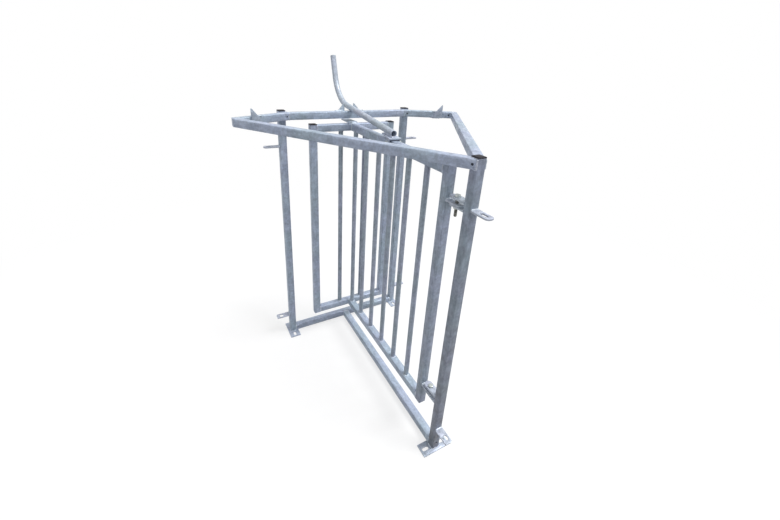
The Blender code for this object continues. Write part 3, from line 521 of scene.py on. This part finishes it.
def moulded_black(name):
    """Black polyethylene: a soft satin shine over fine grain, dusted a little grey."""
    finish, tree, shader = new_finish(name)
    shader.inputs["Specular IOR Level"].default_value = CAP_SHINE
    place = add_node(tree, "ShaderNodeTexCoord").outputs["Object"]
    heights = {}
    for pattern, size, detail in (("smear", CAP_SMEAR, 3), ("grain", CAP_GRAIN, 1)):
        mapped = add_node(tree, "ShaderNodeMapping", {
            "Vector": place, "Scale": (size,) * 3}, vector_type="TEXTURE")
        heights[pattern] = add_node(tree, "ShaderNodeTexNoise", {
            "Vector": mapped.outputs["Vector"], "Scale": 1, "Detail": detail}).outputs["Fac"]
    dust = add_node(tree, "ShaderNodeMapRange", {"Value": heights["smear"], **CAP_DUST_RANGE})
    colour = add_node(tree, "ShaderNodeMix", {
        0: dust.outputs["Result"], COLOUR_A: linear(CAP_BLACK), COLOUR_B: linear(CAP_WORN)},
        data_type="RGBA")
    tree.links.new(colour.outputs[MIXED_COLOUR], shader.inputs["Base Color"])
    dullness = add_node(tree, "ShaderNodeMapRange", {"Value": heights["smear"], **CAP_ROUGHNESS})
    tree.links.new(dullness.outputs["Result"], shader.inputs["Roughness"])
    grain = add_node(tree, "ShaderNodeBump", {"Height": heights["grain"], "Distance": CAP_GRAIN_HEIGHT})
    tree.links.new(grain.outputs["Normal"], shader.inputs["Normal"])
    return finish


black_polyethylene = moulded_black("black_polyethylene")


def insert_cap(name, node, body):
    """A domed cap in place of a tube's plain one."""
    low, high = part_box(node)
    centre = (low + high) / 2
    flange = (high.x - low.x) / 2
    plug = flange - CAP_PLUG_INSET
    seat = high.z - CAP_FLANGE
    profile = (
        (plug, CAP_PLUG_CORNER, low.z), (plug, CAP_PLUG_CORNER, seat), (flange, CAP_CORNER, seat),
        (flange, CAP_CORNER, high.z - CAP_EDGE), (flange - CAP_EDGE_IN, CAP_CORNER, high.z - CAP_EDGE_DOWN),
        (flange - CAP_EDGE, CAP_CORNER, high.z),
        (flange * CAP_SHOULDER, CAP_CORNER, high.z + CAP_DOME * CAP_SHOULDER_RISE),
        (flange * CAP_CROWN, CAP_CROWN_CORNER, high.z + CAP_DOME),
    )
    rings = []
    for size, corner, height in profile:
        outline = rounded_outline(size, size, corner, CAP_CORNER_STEPS)
        rings.append([Vector((centre.x + right, centre.y + far, height)) for right, far in outline])
    cap = skin(name, [(rings, False)], black_polyethylene, body)
    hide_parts(node)


for post_name in POST_NAMES:
    insert_cap(post_name + "_insert_cap", post_name + "_cap", "frame")


# Catches
#
# Four triangles cut from 5 mm plate, welded upright to the ring. Their ramps lift the handle as
# it comes along, and their upright edges hold it.

CATCH_WELD = 0.0024
CATCH_WELD_ENDS = (0.009, 0.047)    # from the stop face
END_CATCH_DISTANCE = 0.180          # from the ring's kink to an end catch's stop face

for catch_name in ("centre_left_catch", "centre_right_catch", "end_left_catch", "end_right_catch"):
    finish_node(catch_name, plate_zinc, PLATE_EDGE)

catch_welds = []
centre_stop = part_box("centre_right_catch")[0].x
arc_places = [KINK + ARC_ALONG * (END_CATCH_DISTANCE - run) for run in CATCH_WELD_ENDS]
for hand in (-1, 1):
    for level in (RING_TOP, RING_BOTTOM):
        centre_ends = [(hand * (centre_stop + run), ring_high.y, level) for run in CATCH_WELD_ENDS]
        catch_welds.append(bead(centre_ends, CATCH_WELD, UP))
        arc_ends = [(hand * place.x, place.y, level) for place in arc_places]
        catch_welds.append(bead(arc_ends, CATCH_WELD, UP))
skin("catch_welds", catch_welds, weld_zinc, "frame")


# Hurdle lugs
#
# Straps of 30 x 5 mm flat bar, welded end-on to the posts with a bead above and below: a slotted
# one near the top and a drilled one near the foot, for the pin of the next hurdle.

LUG_PALE = "#d2dae8"
LUG_DEEP = "#b0bbcb"
ROOT_WELD = 0.0032
ROOT_WELD_HALF = 0.0135

lug_zinc = hot_dip_zinc("hot_dip_zinc_strap", NORTH, LUG_PALE, LUG_DEEP)


def root_welds(node, outward):
    """Beads above and below where a strap meets the face that it stands out from."""
    low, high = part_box(node)
    outward = Vector(outward)
    centre = (low + high) / 2
    reach = abs((high - low).dot(outward)) / 2
    root = centre - outward * reach
    across = UP.cross(outward) * ROOT_WELD_HALF
    beads = []
    for level in (low.z, high.z):
        middle = Vector((root.x, root.y, level))
        beads.append(bead([middle - across, middle + across], ROOT_WELD, UP))
    return beads


lug_welds = []
for post_name, outward in zip(POST_NAMES, (-NORTH, -EAST, EAST)):
    for level_name in ("_upper_lug", "_lower_lug"):
        finish_node(post_name + level_name, lug_zinc, PLATE_EDGE)
        lug_welds += root_welds(post_name + level_name, outward)
skin("lug_welds", lug_welds, weld_zinc, "frame")


# Hinges
#
# Round-ended plates of the same flat bar: two on the post and one on the gate at each hinge,
# turning on an M10 hexagon bolt and nut with a thin, faintly yellow zinc plating.

BOLT_PALE = "#d0d5d3"
BOLT_DEEP = "#a3aaa7"
THREAD_PALE = "#92918a"
THREAD_DEEP = "#67665f"
BOLT_METALLIC = 0.6
BOLT_SMUDGE = 0.006
BOLT_SMUDGE_RANGE = {"From Min": 0.35, "From Max": 0.65}
BOLT_ROUGHNESS = {"To Min": 0.42, "To Max": 0.28}
BOLT_TURNING = 0.0005           # turning marks
BOLT_TURNING_HEIGHT = 0.00001
BOLT_FLATS = 0.017
BOLT_HEAD = 0.0064
BOLT_NUT = 0.008
BOLT_RADIUS = 0.005
BOLT_SIDES = 48
UNDER_HEAD = 0.00005            # from here down a bolt has its thread's darker finish
HEAD_FACE = 0.95                # a head's round face, as a share of its flats
HEAD_CHAMFER = radians(30)
HEAD_STEP = 0.0003              # the step under a head, which it bears on
CROWN_SHARE = 0.30
CROWN_RISE = 0.0001
NUT_CLEARANCE = 0.0002
NUT_CHAMFER = 0.0008
THREAD_PITCH = 0.0015
THREAD_DEPTH = 0.0009
THREAD_ROWS = 6                 # rings of points to one turn
THREAD_LENGTH = 0.032
THREAD_TIP = 0.0012             # the chamfer at the bolt's end
THREAD_RUNOUT = 0.002
HEAD_TURN = radians(15)         # as the spanner left them
NUT_TURN = radians(26)


def plated_steel(name, pale, deep):
    """Thin bright zinc plating: smoother than the dipped steel, with a faint yellow-green cast."""
    finish, tree, shader = new_finish(name)
    shader.inputs["Metallic"].default_value = BOLT_METALLIC
    place = add_node(tree, "ShaderNodeTexCoord").outputs["Object"]
    heights = {}
    for pattern, size in (("smudge", BOLT_SMUDGE), ("turning", BOLT_TURNING)):
        mapped = add_node(tree, "ShaderNodeMapping", {
            "Vector": place, "Scale": (size,) * 3}, vector_type="TEXTURE")
        heights[pattern] = add_node(tree, "ShaderNodeTexNoise", {
            "Vector": mapped.outputs["Vector"], "Scale": 1, "Detail": 2}).outputs["Fac"]
    smudge = add_node(tree, "ShaderNodeMapRange", {"Value": heights["smudge"], **BOLT_SMUDGE_RANGE})
    colour = add_node(tree, "ShaderNodeMix", {
        0: smudge.outputs["Result"], COLOUR_A: linear(deep), COLOUR_B: linear(pale)}, data_type="RGBA")
    tree.links.new(colour.outputs[MIXED_COLOUR], shader.inputs["Base Color"])
    dullness = add_node(tree, "ShaderNodeMapRange", {"Value": heights["smudge"], **BOLT_ROUGHNESS})
    tree.links.new(dullness.outputs["Result"], shader.inputs["Roughness"])
    turning = add_node(tree, "ShaderNodeBump", {
        "Height": heights["turning"], "Distance": BOLT_TURNING_HEIGHT})
    tree.links.new(turning.outputs["Normal"], shader.inputs["Normal"])
    return finish


bolt_zinc = plated_steel("bright_zinc_plate", BOLT_PALE, BOLT_DEEP)
thread_zinc = plated_steel("oiled_thread", THREAD_PALE, THREAD_DEEP)


def hexagon(flats, turn):
    """How far a hexagon reaches at an angle."""
    return flats / 2 / cos((turn + pi / 6) % (pi / 3) - pi / 6)


def hex_rings(flats, thickness, both_faces):
    """The rings of a hexagon head from its bearing face up, its corners chamfered."""
    face = flats / 2 * HEAD_FACE
    bearing = [(face, 0.0)] * BOLT_SIDES
    top = [(face, thickness)] * BOLT_SIDES
    lower = []
    upper = []
    for turn in full_turn(BOLT_SIDES):
        reach = hexagon(flats, turn)
        drop = max(0.0, reach - face) * tan(HEAD_CHAMFER)
        lower.append((reach, drop if both_faces else HEAD_STEP))
        upper.append((reach, thickness - drop))
    return [bearing, lower, upper, top]


def around_axis(rings):
    """Points from rings of (radius, height), around the Z axis."""
    turns = full_turn(BOLT_SIDES)
    made = []
    for ring in rings:
        made.append([Vector((r * cos(turn), r * sin(turn), z)) for turn, (r, z) in zip(turns, ring)])
    return made


def thread_rings(radius, top, bottom):
    """The rings of a thread from its tip up to where it runs out into the shank."""
    rows = int((top - bottom) / THREAD_PITCH * THREAD_ROWS)
    rings = []
    for row in range(rows + 1):
        height = bottom + (top - bottom) * row / rows
        tip = max(0.0, THREAD_TIP - (height - bottom))
        runout = max(0.0, 1 - (top - height) / THREAD_RUNOUT)
        ring = []
        for number in range(BOLT_SIDES):
            phase = (height / THREAD_PITCH - number / BOLT_SIDES) % 1
            groove = THREAD_DEPTH * (1 - abs(2 * phase - 1))
            ring.append((radius - max(groove * (1 - runout), tip), height))
        rings.append(ring)
    return rings


def placed(rings, matrix):
    """Rings of points, moved by a matrix."""
    return [[matrix @ point for point in ring] for ring in rings]


def hex_bolt(name, node, matrix, length, flats, thread, body):
    """A bolt along its own Z axis, the underside of its head at its origin."""
    rings = thread_rings(BOLT_RADIUS, thread - length, -length)
    rings.append([(BOLT_RADIUS, 0.0)] * BOLT_SIDES)
    rings += hex_rings(flats, BOLT_HEAD, False)
    rings.append([(flats * CROWN_SHARE, BOLT_HEAD + CROWN_RISE)] * BOLT_SIDES)
    bolt = skin(name, [(placed(around_axis(rings), matrix), False)], bolt_zinc, body)
    bolt.data.materials.append(thread_zinc)
    to_bolt = matrix.inverted()
    for face in bolt.data.polygons:
        if (to_bolt @ face.center).z < -UNDER_HEAD:
            face.material_index = 1
    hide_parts(node)


def hex_nut(name, node, matrix, flats, body):
    """A nut along its own Z axis, its lower face at its origin."""
    bore = BOLT_RADIUS + NUT_CLEARANCE
    mouth = bore + NUT_CHAMFER
    inside = ((mouth, BOLT_NUT), (bore, BOLT_NUT - NUT_CHAMFER), (bore, NUT_CHAMFER), (mouth, 0.0))
    rings = hex_rings(flats, BOLT_NUT, True) + [[place] * BOLT_SIDES for place in inside]
    nut = skin(name, [(placed(around_axis(rings), matrix), True)], bolt_zinc, body)
    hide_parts(node)


frame_hinge_welds = []
gate_hinge_welds = []
for level_name in ("upper", "lower"):
    hinge = level_name + "_hinge"
    for fork in ("_top_fork", "_bottom_fork"):
        finish_node(hinge + fork, lug_zinc, PLATE_EDGE)
        frame_hinge_welds += root_welds(hinge + fork, NORTH)
    finish_node(hinge + "_gate_plate", lug_zinc, PLATE_EDGE)
    gate_hinge_welds += root_welds(hinge + "_gate_plate", -NORTH)
    low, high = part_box(hinge + "_bolt")
    middle = (low + high) / 2
    head_seat = high.z - BOLT_HEAD
    at_head = Matrix.Translation((middle.x, middle.y, head_seat)) @ Matrix.Rotation(HEAD_TURN, 4, "Z")
    hex_bolt(hinge + "_hex_bolt", hinge + "_bolt", at_head, head_seat - low.z, BOLT_FLATS, THREAD_LENGTH,
             "frame")
    nut_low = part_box(hinge + "_nut")[0].z
    at_nut = Matrix.Translation((middle.x, middle.y, nut_low)) @ Matrix.Rotation(NUT_TURN, 4, "Z")
    hex_nut(hinge + "_hex_nut", hinge + "_nut", at_nut, BOLT_FLATS, "frame")
skin("hinge_fork_welds", frame_hinge_welds, weld_zinc, "frame")
skin("hinge_gate_welds", gate_hinge_welds, weld_zinc, "gate")


# Gate
#
# A T-shaped leaf of the square tube: a hinge stile, top and bottom rails, and a short crossbar
# with end stiles at the far end, filled with 20 mm round bars welded upright between the rails.

STILE_PALE = "#b4c3d7"          # the hinge stile is a little duller than the rest of the gate
STILE_DEEP = "#8c9cb1"
# the stile's smoky patches, and also its painted shade towards the ground
STILE_SMOKE_AND_LOW_SHADE = 0.3
BAR_PALE = "#aebbcc"
BAR_DEEP = "#8693a5"
BAR_WELD = 0.0023
BAR_SIDES = 24
STEM_BARS = 6

bar_zinc = hot_dip_zinc("hot_dip_zinc_bar", UP, BAR_PALE, BAR_DEEP)
# The second smoke value is painted shade that darkens the stile towards the ground.
stile_zinc = hot_dip_zinc("hot_dip_zinc_stile", UP, STILE_PALE, STILE_DEEP, STILE_SMOKE_AND_LOW_SHADE, STILE_SMOKE_AND_LOW_SHADE)

for name in ("left_stile", "right_stile"):
    finish_node(name, upright_zinc)
finish_node("hinge_stile", stile_zinc)
finish_node("hinge_stile_cap", stile_zinc, PLATE_EDGE)
for level_name in ("top", "bottom"):
    finish_node(level_name + "_rail", lengthways_zinc)
    finish_node(level_name + "_crossbar", across_zinc)
for side_name in ("left", "right"):
    insert_cap(side_name + "_stile_insert_cap", side_name + "_stile_cap", "gate")

gate_welds = []
for level_name in ("top", "bottom"):
    gate_welds += end_welds(level_name + "_rail", 1)
    gate_welds += end_welds(level_name + "_crossbar", 0)
skin("gate_tube_welds", gate_welds, weld_zinc, "gate")

bar_names = ["stem_bar_" + str(number + 1) for number in range(STEM_BARS)]
bar_welds = []
for name in bar_names + ["left_wing_bar", "right_wing_bar"]:
    finish_node(name, bar_zinc)
    low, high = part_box(name)
    middle = (low + high) / 2
    radius = (high.x - low.x) / 2
    for level in (low.z, high.z):
        ring = [(middle.x + radius * cos(turn), middle.y + radius * sin(turn), level)
                for turn in full_turn(BAR_SIDES)]
        bar_welds.append(bead(ring, BAR_WELD, UP, True))
skin("gate_bar_welds", bar_welds, weld_zinc, "gate")


# Guide tongue
#
# A 5 mm plate welded to the top of the gate's crossbar at its back. It runs out under the ring
# and keeps the end of the gate from lifting.

finish_node("guide_tongue", plate_zinc, PLATE_EDGE)
low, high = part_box("guide_tongue")
root_half = high.x - CATCH_WELD
crossbar_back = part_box("top_crossbar")[1].y
tongue_welds = [bead([(-root_half, low.y, low.z), (root_half, low.y, low.z)], CATCH_WELD, UP)]
for hand in (-1, 1):
    ends = [(hand * high.x, y, low.z) for y in (low.y + CATCH_WELD, crossbar_back - CATCH_WELD)]
    tongue_welds.append(bead(ends, CATCH_WELD, UP))
skin("tongue_welds", tongue_welds, weld_zinc, "gate")


# Lift handle
#
# A 25 mm galvanised pipe, bent cold to an upright grip and left open at both ends. It is welded
# to a folded saddle that rocks on a bolt through the gate's top rail.

PIPE_PALE = "#cfdae8"
PIPE_DEEP = "#b0bdcc"
PIPE_RADIUS = 0.0125
PIPE_WALL = 0.002
PIPE_STRAIGHT = 0.427
PIPE_BEND_RADIUS = 0.164
PIPE_GRIP_ANGLE = radians(72.3)
PIPE_GRIP = 0.093
PIPE_EDGE = 0.0004
PIPE_SIDES = 40
PIPE_BEND_STEPS = 36
PIPE_SEAT = 0.0003
SADDLE_UNDERSIDE = 0.0175       # above the pivot
SADDLE_PLATE = 0.004
PIPE_WELD = 0.0026
SIDE_WELD_OUT = 0.0072          # a long bead on each side, from the pipe's middle plane
SIDE_WELD_RISE = 0.0012
SIDE_WELD_ENDS = (0.002, 0.056)
TIP_WELD_RISE = 0.0006          # and a short one across under the pipe's lower end
TIP_WELD_HALF = 0.008
PIVOT_FLATS = 0.016
PIVOT_THREAD = 0.016

lift = next(joint for joint in frame["joints"] if joint["name"] == "handle_lift")
PIVOT = Vector(lift["pos_m"])
pipe_underside = SADDLE_UNDERSIDE + SADDLE_PLATE + PIPE_SEAT
pipe_axis = pipe_underside + PIPE_RADIUS
run = ring_low.y - PIVOT.y
rise = RING_TOP + PIPE_SEAT - PIVOT.z
SLOPE = atan2(rise, run) - asin(pipe_underside / hypot(run, rise))
on_saddle = Matrix.Translation(PIVOT) @ Matrix.Rotation(SLOPE, 4, "X")

pipe_zinc = hot_dip_zinc("galvanised_pipe", NORTH, PIPE_PALE, PIPE_DEEP)


def pipe_places():
    """Points on the pipe's axis, each with the direction in which the pipe runs there."""
    bend_angle = PIPE_GRIP_ANGLE - SLOPE
    places = [(Vector((0, 0, pipe_axis)), 0.0)]
    for step in range(PIPE_BEND_STEPS + 1):
        turn = bend_angle * step / PIPE_BEND_STEPS
        y = PIPE_STRAIGHT + PIPE_BEND_RADIUS * sin(turn)
        z = pipe_axis + PIPE_BEND_RADIUS * (1 - cos(turn))
        places.append((Vector((0, y, z)), turn))
    tip = places[-1][0] + Vector((0, cos(bend_angle), sin(bend_angle))) * PIPE_GRIP
    places.append((tip, bend_angle))
    return places


def pipe_ring(point, turn, radius, back=0.0):
    """A ring round the pipe's axis, moved along it by a small distance."""
    ahead = Vector((0, cos(turn), sin(turn)))
    up = Vector((0, -sin(turn), cos(turn)))
    middle = point + ahead * back
    return [middle + (EAST * cos(angle) + up * sin(angle)) * radius for angle in full_turn(PIPE_SIDES)]


places = pipe_places()
first, last = places[0], places[-1]
bore = PIPE_RADIUS - PIPE_WALL
rings = [pipe_ring(*first, PIPE_RADIUS - PIPE_EDGE), pipe_ring(*first, PIPE_RADIUS, PIPE_EDGE)]
rings += [pipe_ring(point, turn, PIPE_RADIUS) for point, turn in places[1:-1]]
rings += [pipe_ring(*last, PIPE_RADIUS, -PIPE_EDGE), pipe_ring(*last, PIPE_RADIUS - PIPE_EDGE)]
rings += [pipe_ring(*last, bore + PIPE_EDGE), pipe_ring(*last, bore, -PIPE_EDGE)]
rings += [pipe_ring(point, turn, bore) for point, turn in reversed(places[1:-1])]
rings += [pipe_ring(*first, bore, PIPE_EDGE), pipe_ring(*first, bore + PIPE_EDGE)]
pipe = skin("bent_pipe", [(placed(rings, on_saddle), True)], pipe_zinc, "handle")
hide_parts("handle_pipe")

finish_node("handle_saddle", plate_zinc, PLATE_EDGE)
saddle_top = SADDLE_UNDERSIDE + SADDLE_PLATE
side_level = saddle_top + SIDE_WELD_RISE
tip_level = saddle_top + TIP_WELD_RISE
weld_paths = [[(SIDE_WELD_OUT * hand, y, side_level) for y in SIDE_WELD_ENDS] for hand in (-1, 1)]
weld_paths.append([(TIP_WELD_HALF * hand, 0.0, tip_level) for hand in (-1, 1)])
saddle_up = on_saddle.to_3x3() @ UP
pipe_welds = [bead([on_saddle @ Vector(end) for end in path], PIPE_WELD, saddle_up) for path in weld_paths]
skin("saddle_welds", pipe_welds, weld_zinc, "handle")

low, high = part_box("pivot_bolt")
head_seat = low.x + BOLT_HEAD
nut_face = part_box("pivot_nut")[1].x
facing_left = Matrix.Rotation(-pi / 2, 4, "Y")
at_head = Matrix.Translation((head_seat, PIVOT.y, PIVOT.z)) @ facing_left
at_nut = Matrix.Translation((nut_face, PIVOT.y, PIVOT.z)) @ facing_left
hex_bolt("pivot_hex_bolt", "pivot_bolt", at_head, high.x - head_seat, PIVOT_FLATS, PIVOT_THREAD, "gate")
hex_nut("pivot_hex_nut", "pivot_nut", at_nut, PIVOT_FLATS, "gate")


# Floor, light and camera
#
# A pale, matt studio floor that fades out into white with distance. A wide, soft key lamp stands
# high at the front right and a weak one lower at the front left, over a plain grey fill.

FLOOR_PALE = "#fafafb"
FLOOR_GREY = "#4a4b4f"          # what the object gets back from it
FLOOR_REACH = 30.0
FLOOR_SIDES = 64
FLOOR_CENTRE = (0, 0.45, -0.0002)
FLOOR_GLOW = 0.7                # how much white shows through the shadows
FADE_START = 0.9
FADE_END = 2.6
WHITE = (1, 1, 1, 1)

floor_finish, tree, shader = new_finish("studio_floor")
place = add_node(tree, "ShaderNodeTexCoord").outputs["Object"]
distance = add_node(tree, "ShaderNodeVectorMath", {0: place}, operation="LENGTH")
fade = add_node(tree, "ShaderNodeMapRange", {
    "Value": distance.outputs["Value"], "From Min": FADE_START, "From Max": FADE_END, "To Min": FLOOR_GLOW},
    interpolation_type="SMOOTHSTEP")


def seen_ray(tree):
    """1 for rays that look at or reflect the background, 0 for those that light the object."""
    path = add_node(tree, "ShaderNodeLightPath").outputs
    gloss = add_node(tree, "ShaderNodeMath", {
        0: path["Is Camera Ray"], 1: path["Is Glossy Ray"]}, operation="ADD")
    seen = add_node(tree, "ShaderNodeMath", {
        0: gloss.outputs["Value"], 1: path["Is Transmission Ray"]}, operation="ADD", use_clamp=True)
    return seen.outputs["Value"]


white = add_node(tree, "ShaderNodeEmission", {"Color": WHITE, "Strength": 1})
pale = add_node(tree, "ShaderNodeBsdfDiffuse", {"Color": linear(FLOOR_PALE)})
grey = add_node(tree, "ShaderNodeBsdfDiffuse", {"Color": linear(FLOOR_GREY)})
seen = add_node(tree, "ShaderNodeMixShader", {
    0: fade.outputs["Result"], 1: pale.outputs["BSDF"], 2: white.outputs["Emission"]})
mixed = add_node(tree, "ShaderNodeMixShader", {
    0: seen_ray(tree), 1: grey.outputs["BSDF"], 2: seen.outputs["Shader"]})
tree.nodes.remove(shader)
tree.links.new(mixed.outputs["Shader"], tree.nodes["Material Output"].inputs["Surface"])

shape = bmesh.new()
bmesh.ops.create_circle(shape, cap_ends=True, segments=FLOOR_SIDES, radius=FLOOR_REACH)
mesh = bpy.data.meshes.new("floor")
shape.to_mesh(mesh)
shape.free()
mesh.materials.append(floor_finish)
floor = bpy.data.objects.new("floor", mesh)
bpy.context.scene.collection.objects.link(floor)
floor.location = FLOOR_CENTRE

FILL = 0.40
world = bpy.data.worlds.new("studio")
bpy.context.scene.world = world
world.use_nodes = True
tree = world.node_tree
fill = tree.nodes["Background"]
fill.inputs["Color"].default_value = WHITE
fill.inputs["Strength"].default_value = FILL
backdrop = add_node(tree, "ShaderNodeBackground", {"Color": WHITE, "Strength": 1})
mixed = add_node(tree, "ShaderNodeMixShader", {
    0: seen_ray(tree), 1: fill.outputs["Background"], 2: backdrop.outputs["Background"]})
tree.links.new(mixed.outputs["Shader"], tree.nodes["World Output"].inputs["Surface"])

LAMP_DISTANCE = 5
KEY_LAMP_HEADING = Vector((0.405, -0.289, 0.867))
KEY_LAMP_WIDTH = radians(30)
KEY_LAMP_STRENGTH = 3.0
SIDE_LAMP_HEADING = Vector((-0.80, -0.45, 0.40))
SIDE_LAMP_WIDTH = radians(50)
SIDE_LAMP_STRENGTH = 0.6


def soft_lamp(name, heading, width, strength):
    """An even, far-off lamp as wide as an angle, which shines from a heading."""
    lamp = bpy.data.lights.new(name, "SUN")
    lamp.angle = width
    lamp.energy = strength
    stand = bpy.data.objects.new(name, lamp)
    stand.location = heading * LAMP_DISTANCE
    stand.rotation_euler = heading.to_track_quat("Z", "Y").to_euler()
    bpy.context.scene.collection.objects.link(stand)


soft_lamp("key_lamp", KEY_LAMP_HEADING, KEY_LAMP_WIDTH, KEY_LAMP_STRENGTH)
soft_lamp("side_lamp", SIDE_LAMP_HEADING, SIDE_LAMP_WIDTH, SIDE_LAMP_STRENGTH)

CAMERA_PLACE = (-0.6875, -0.6985, 1.3773)
CAMERA_RIGHT = Vector((0.87429, -0.48243, 0.05362))
CAMERA_UP = Vector((0.14781, 0.36982, 0.91727))
CAMERA_BACK = Vector((-0.46235, -0.79404, 0.39464))
CAMERA_SENSOR = 36              # millimetres
CAMERA_LENS = 16.875
CAMERA_SHIFT_X = 0.00789
CAMERA_SHIFT_Y = -0.0617
CAMERA_NEAR = 0.01

lens = bpy.data.cameras.new("camera")
lens.sensor_width = CAMERA_SENSOR
lens.lens = CAMERA_LENS
lens.shift_x = CAMERA_SHIFT_X
lens.shift_y = CAMERA_SHIFT_Y
lens.clip_start = CAMERA_NEAR
camera = bpy.data.objects.new("camera", lens)
turned = Matrix((CAMERA_RIGHT, CAMERA_UP, CAMERA_BACK)).transposed().to_4x4()
camera.matrix_world = Matrix.Translation(CAMERA_PLACE) @ turned
bpy.context.scene.collection.objects.link(camera)
bpy.context.scene.camera = camera
bpy.context.scene.view_settings.view_transform = "Standard"
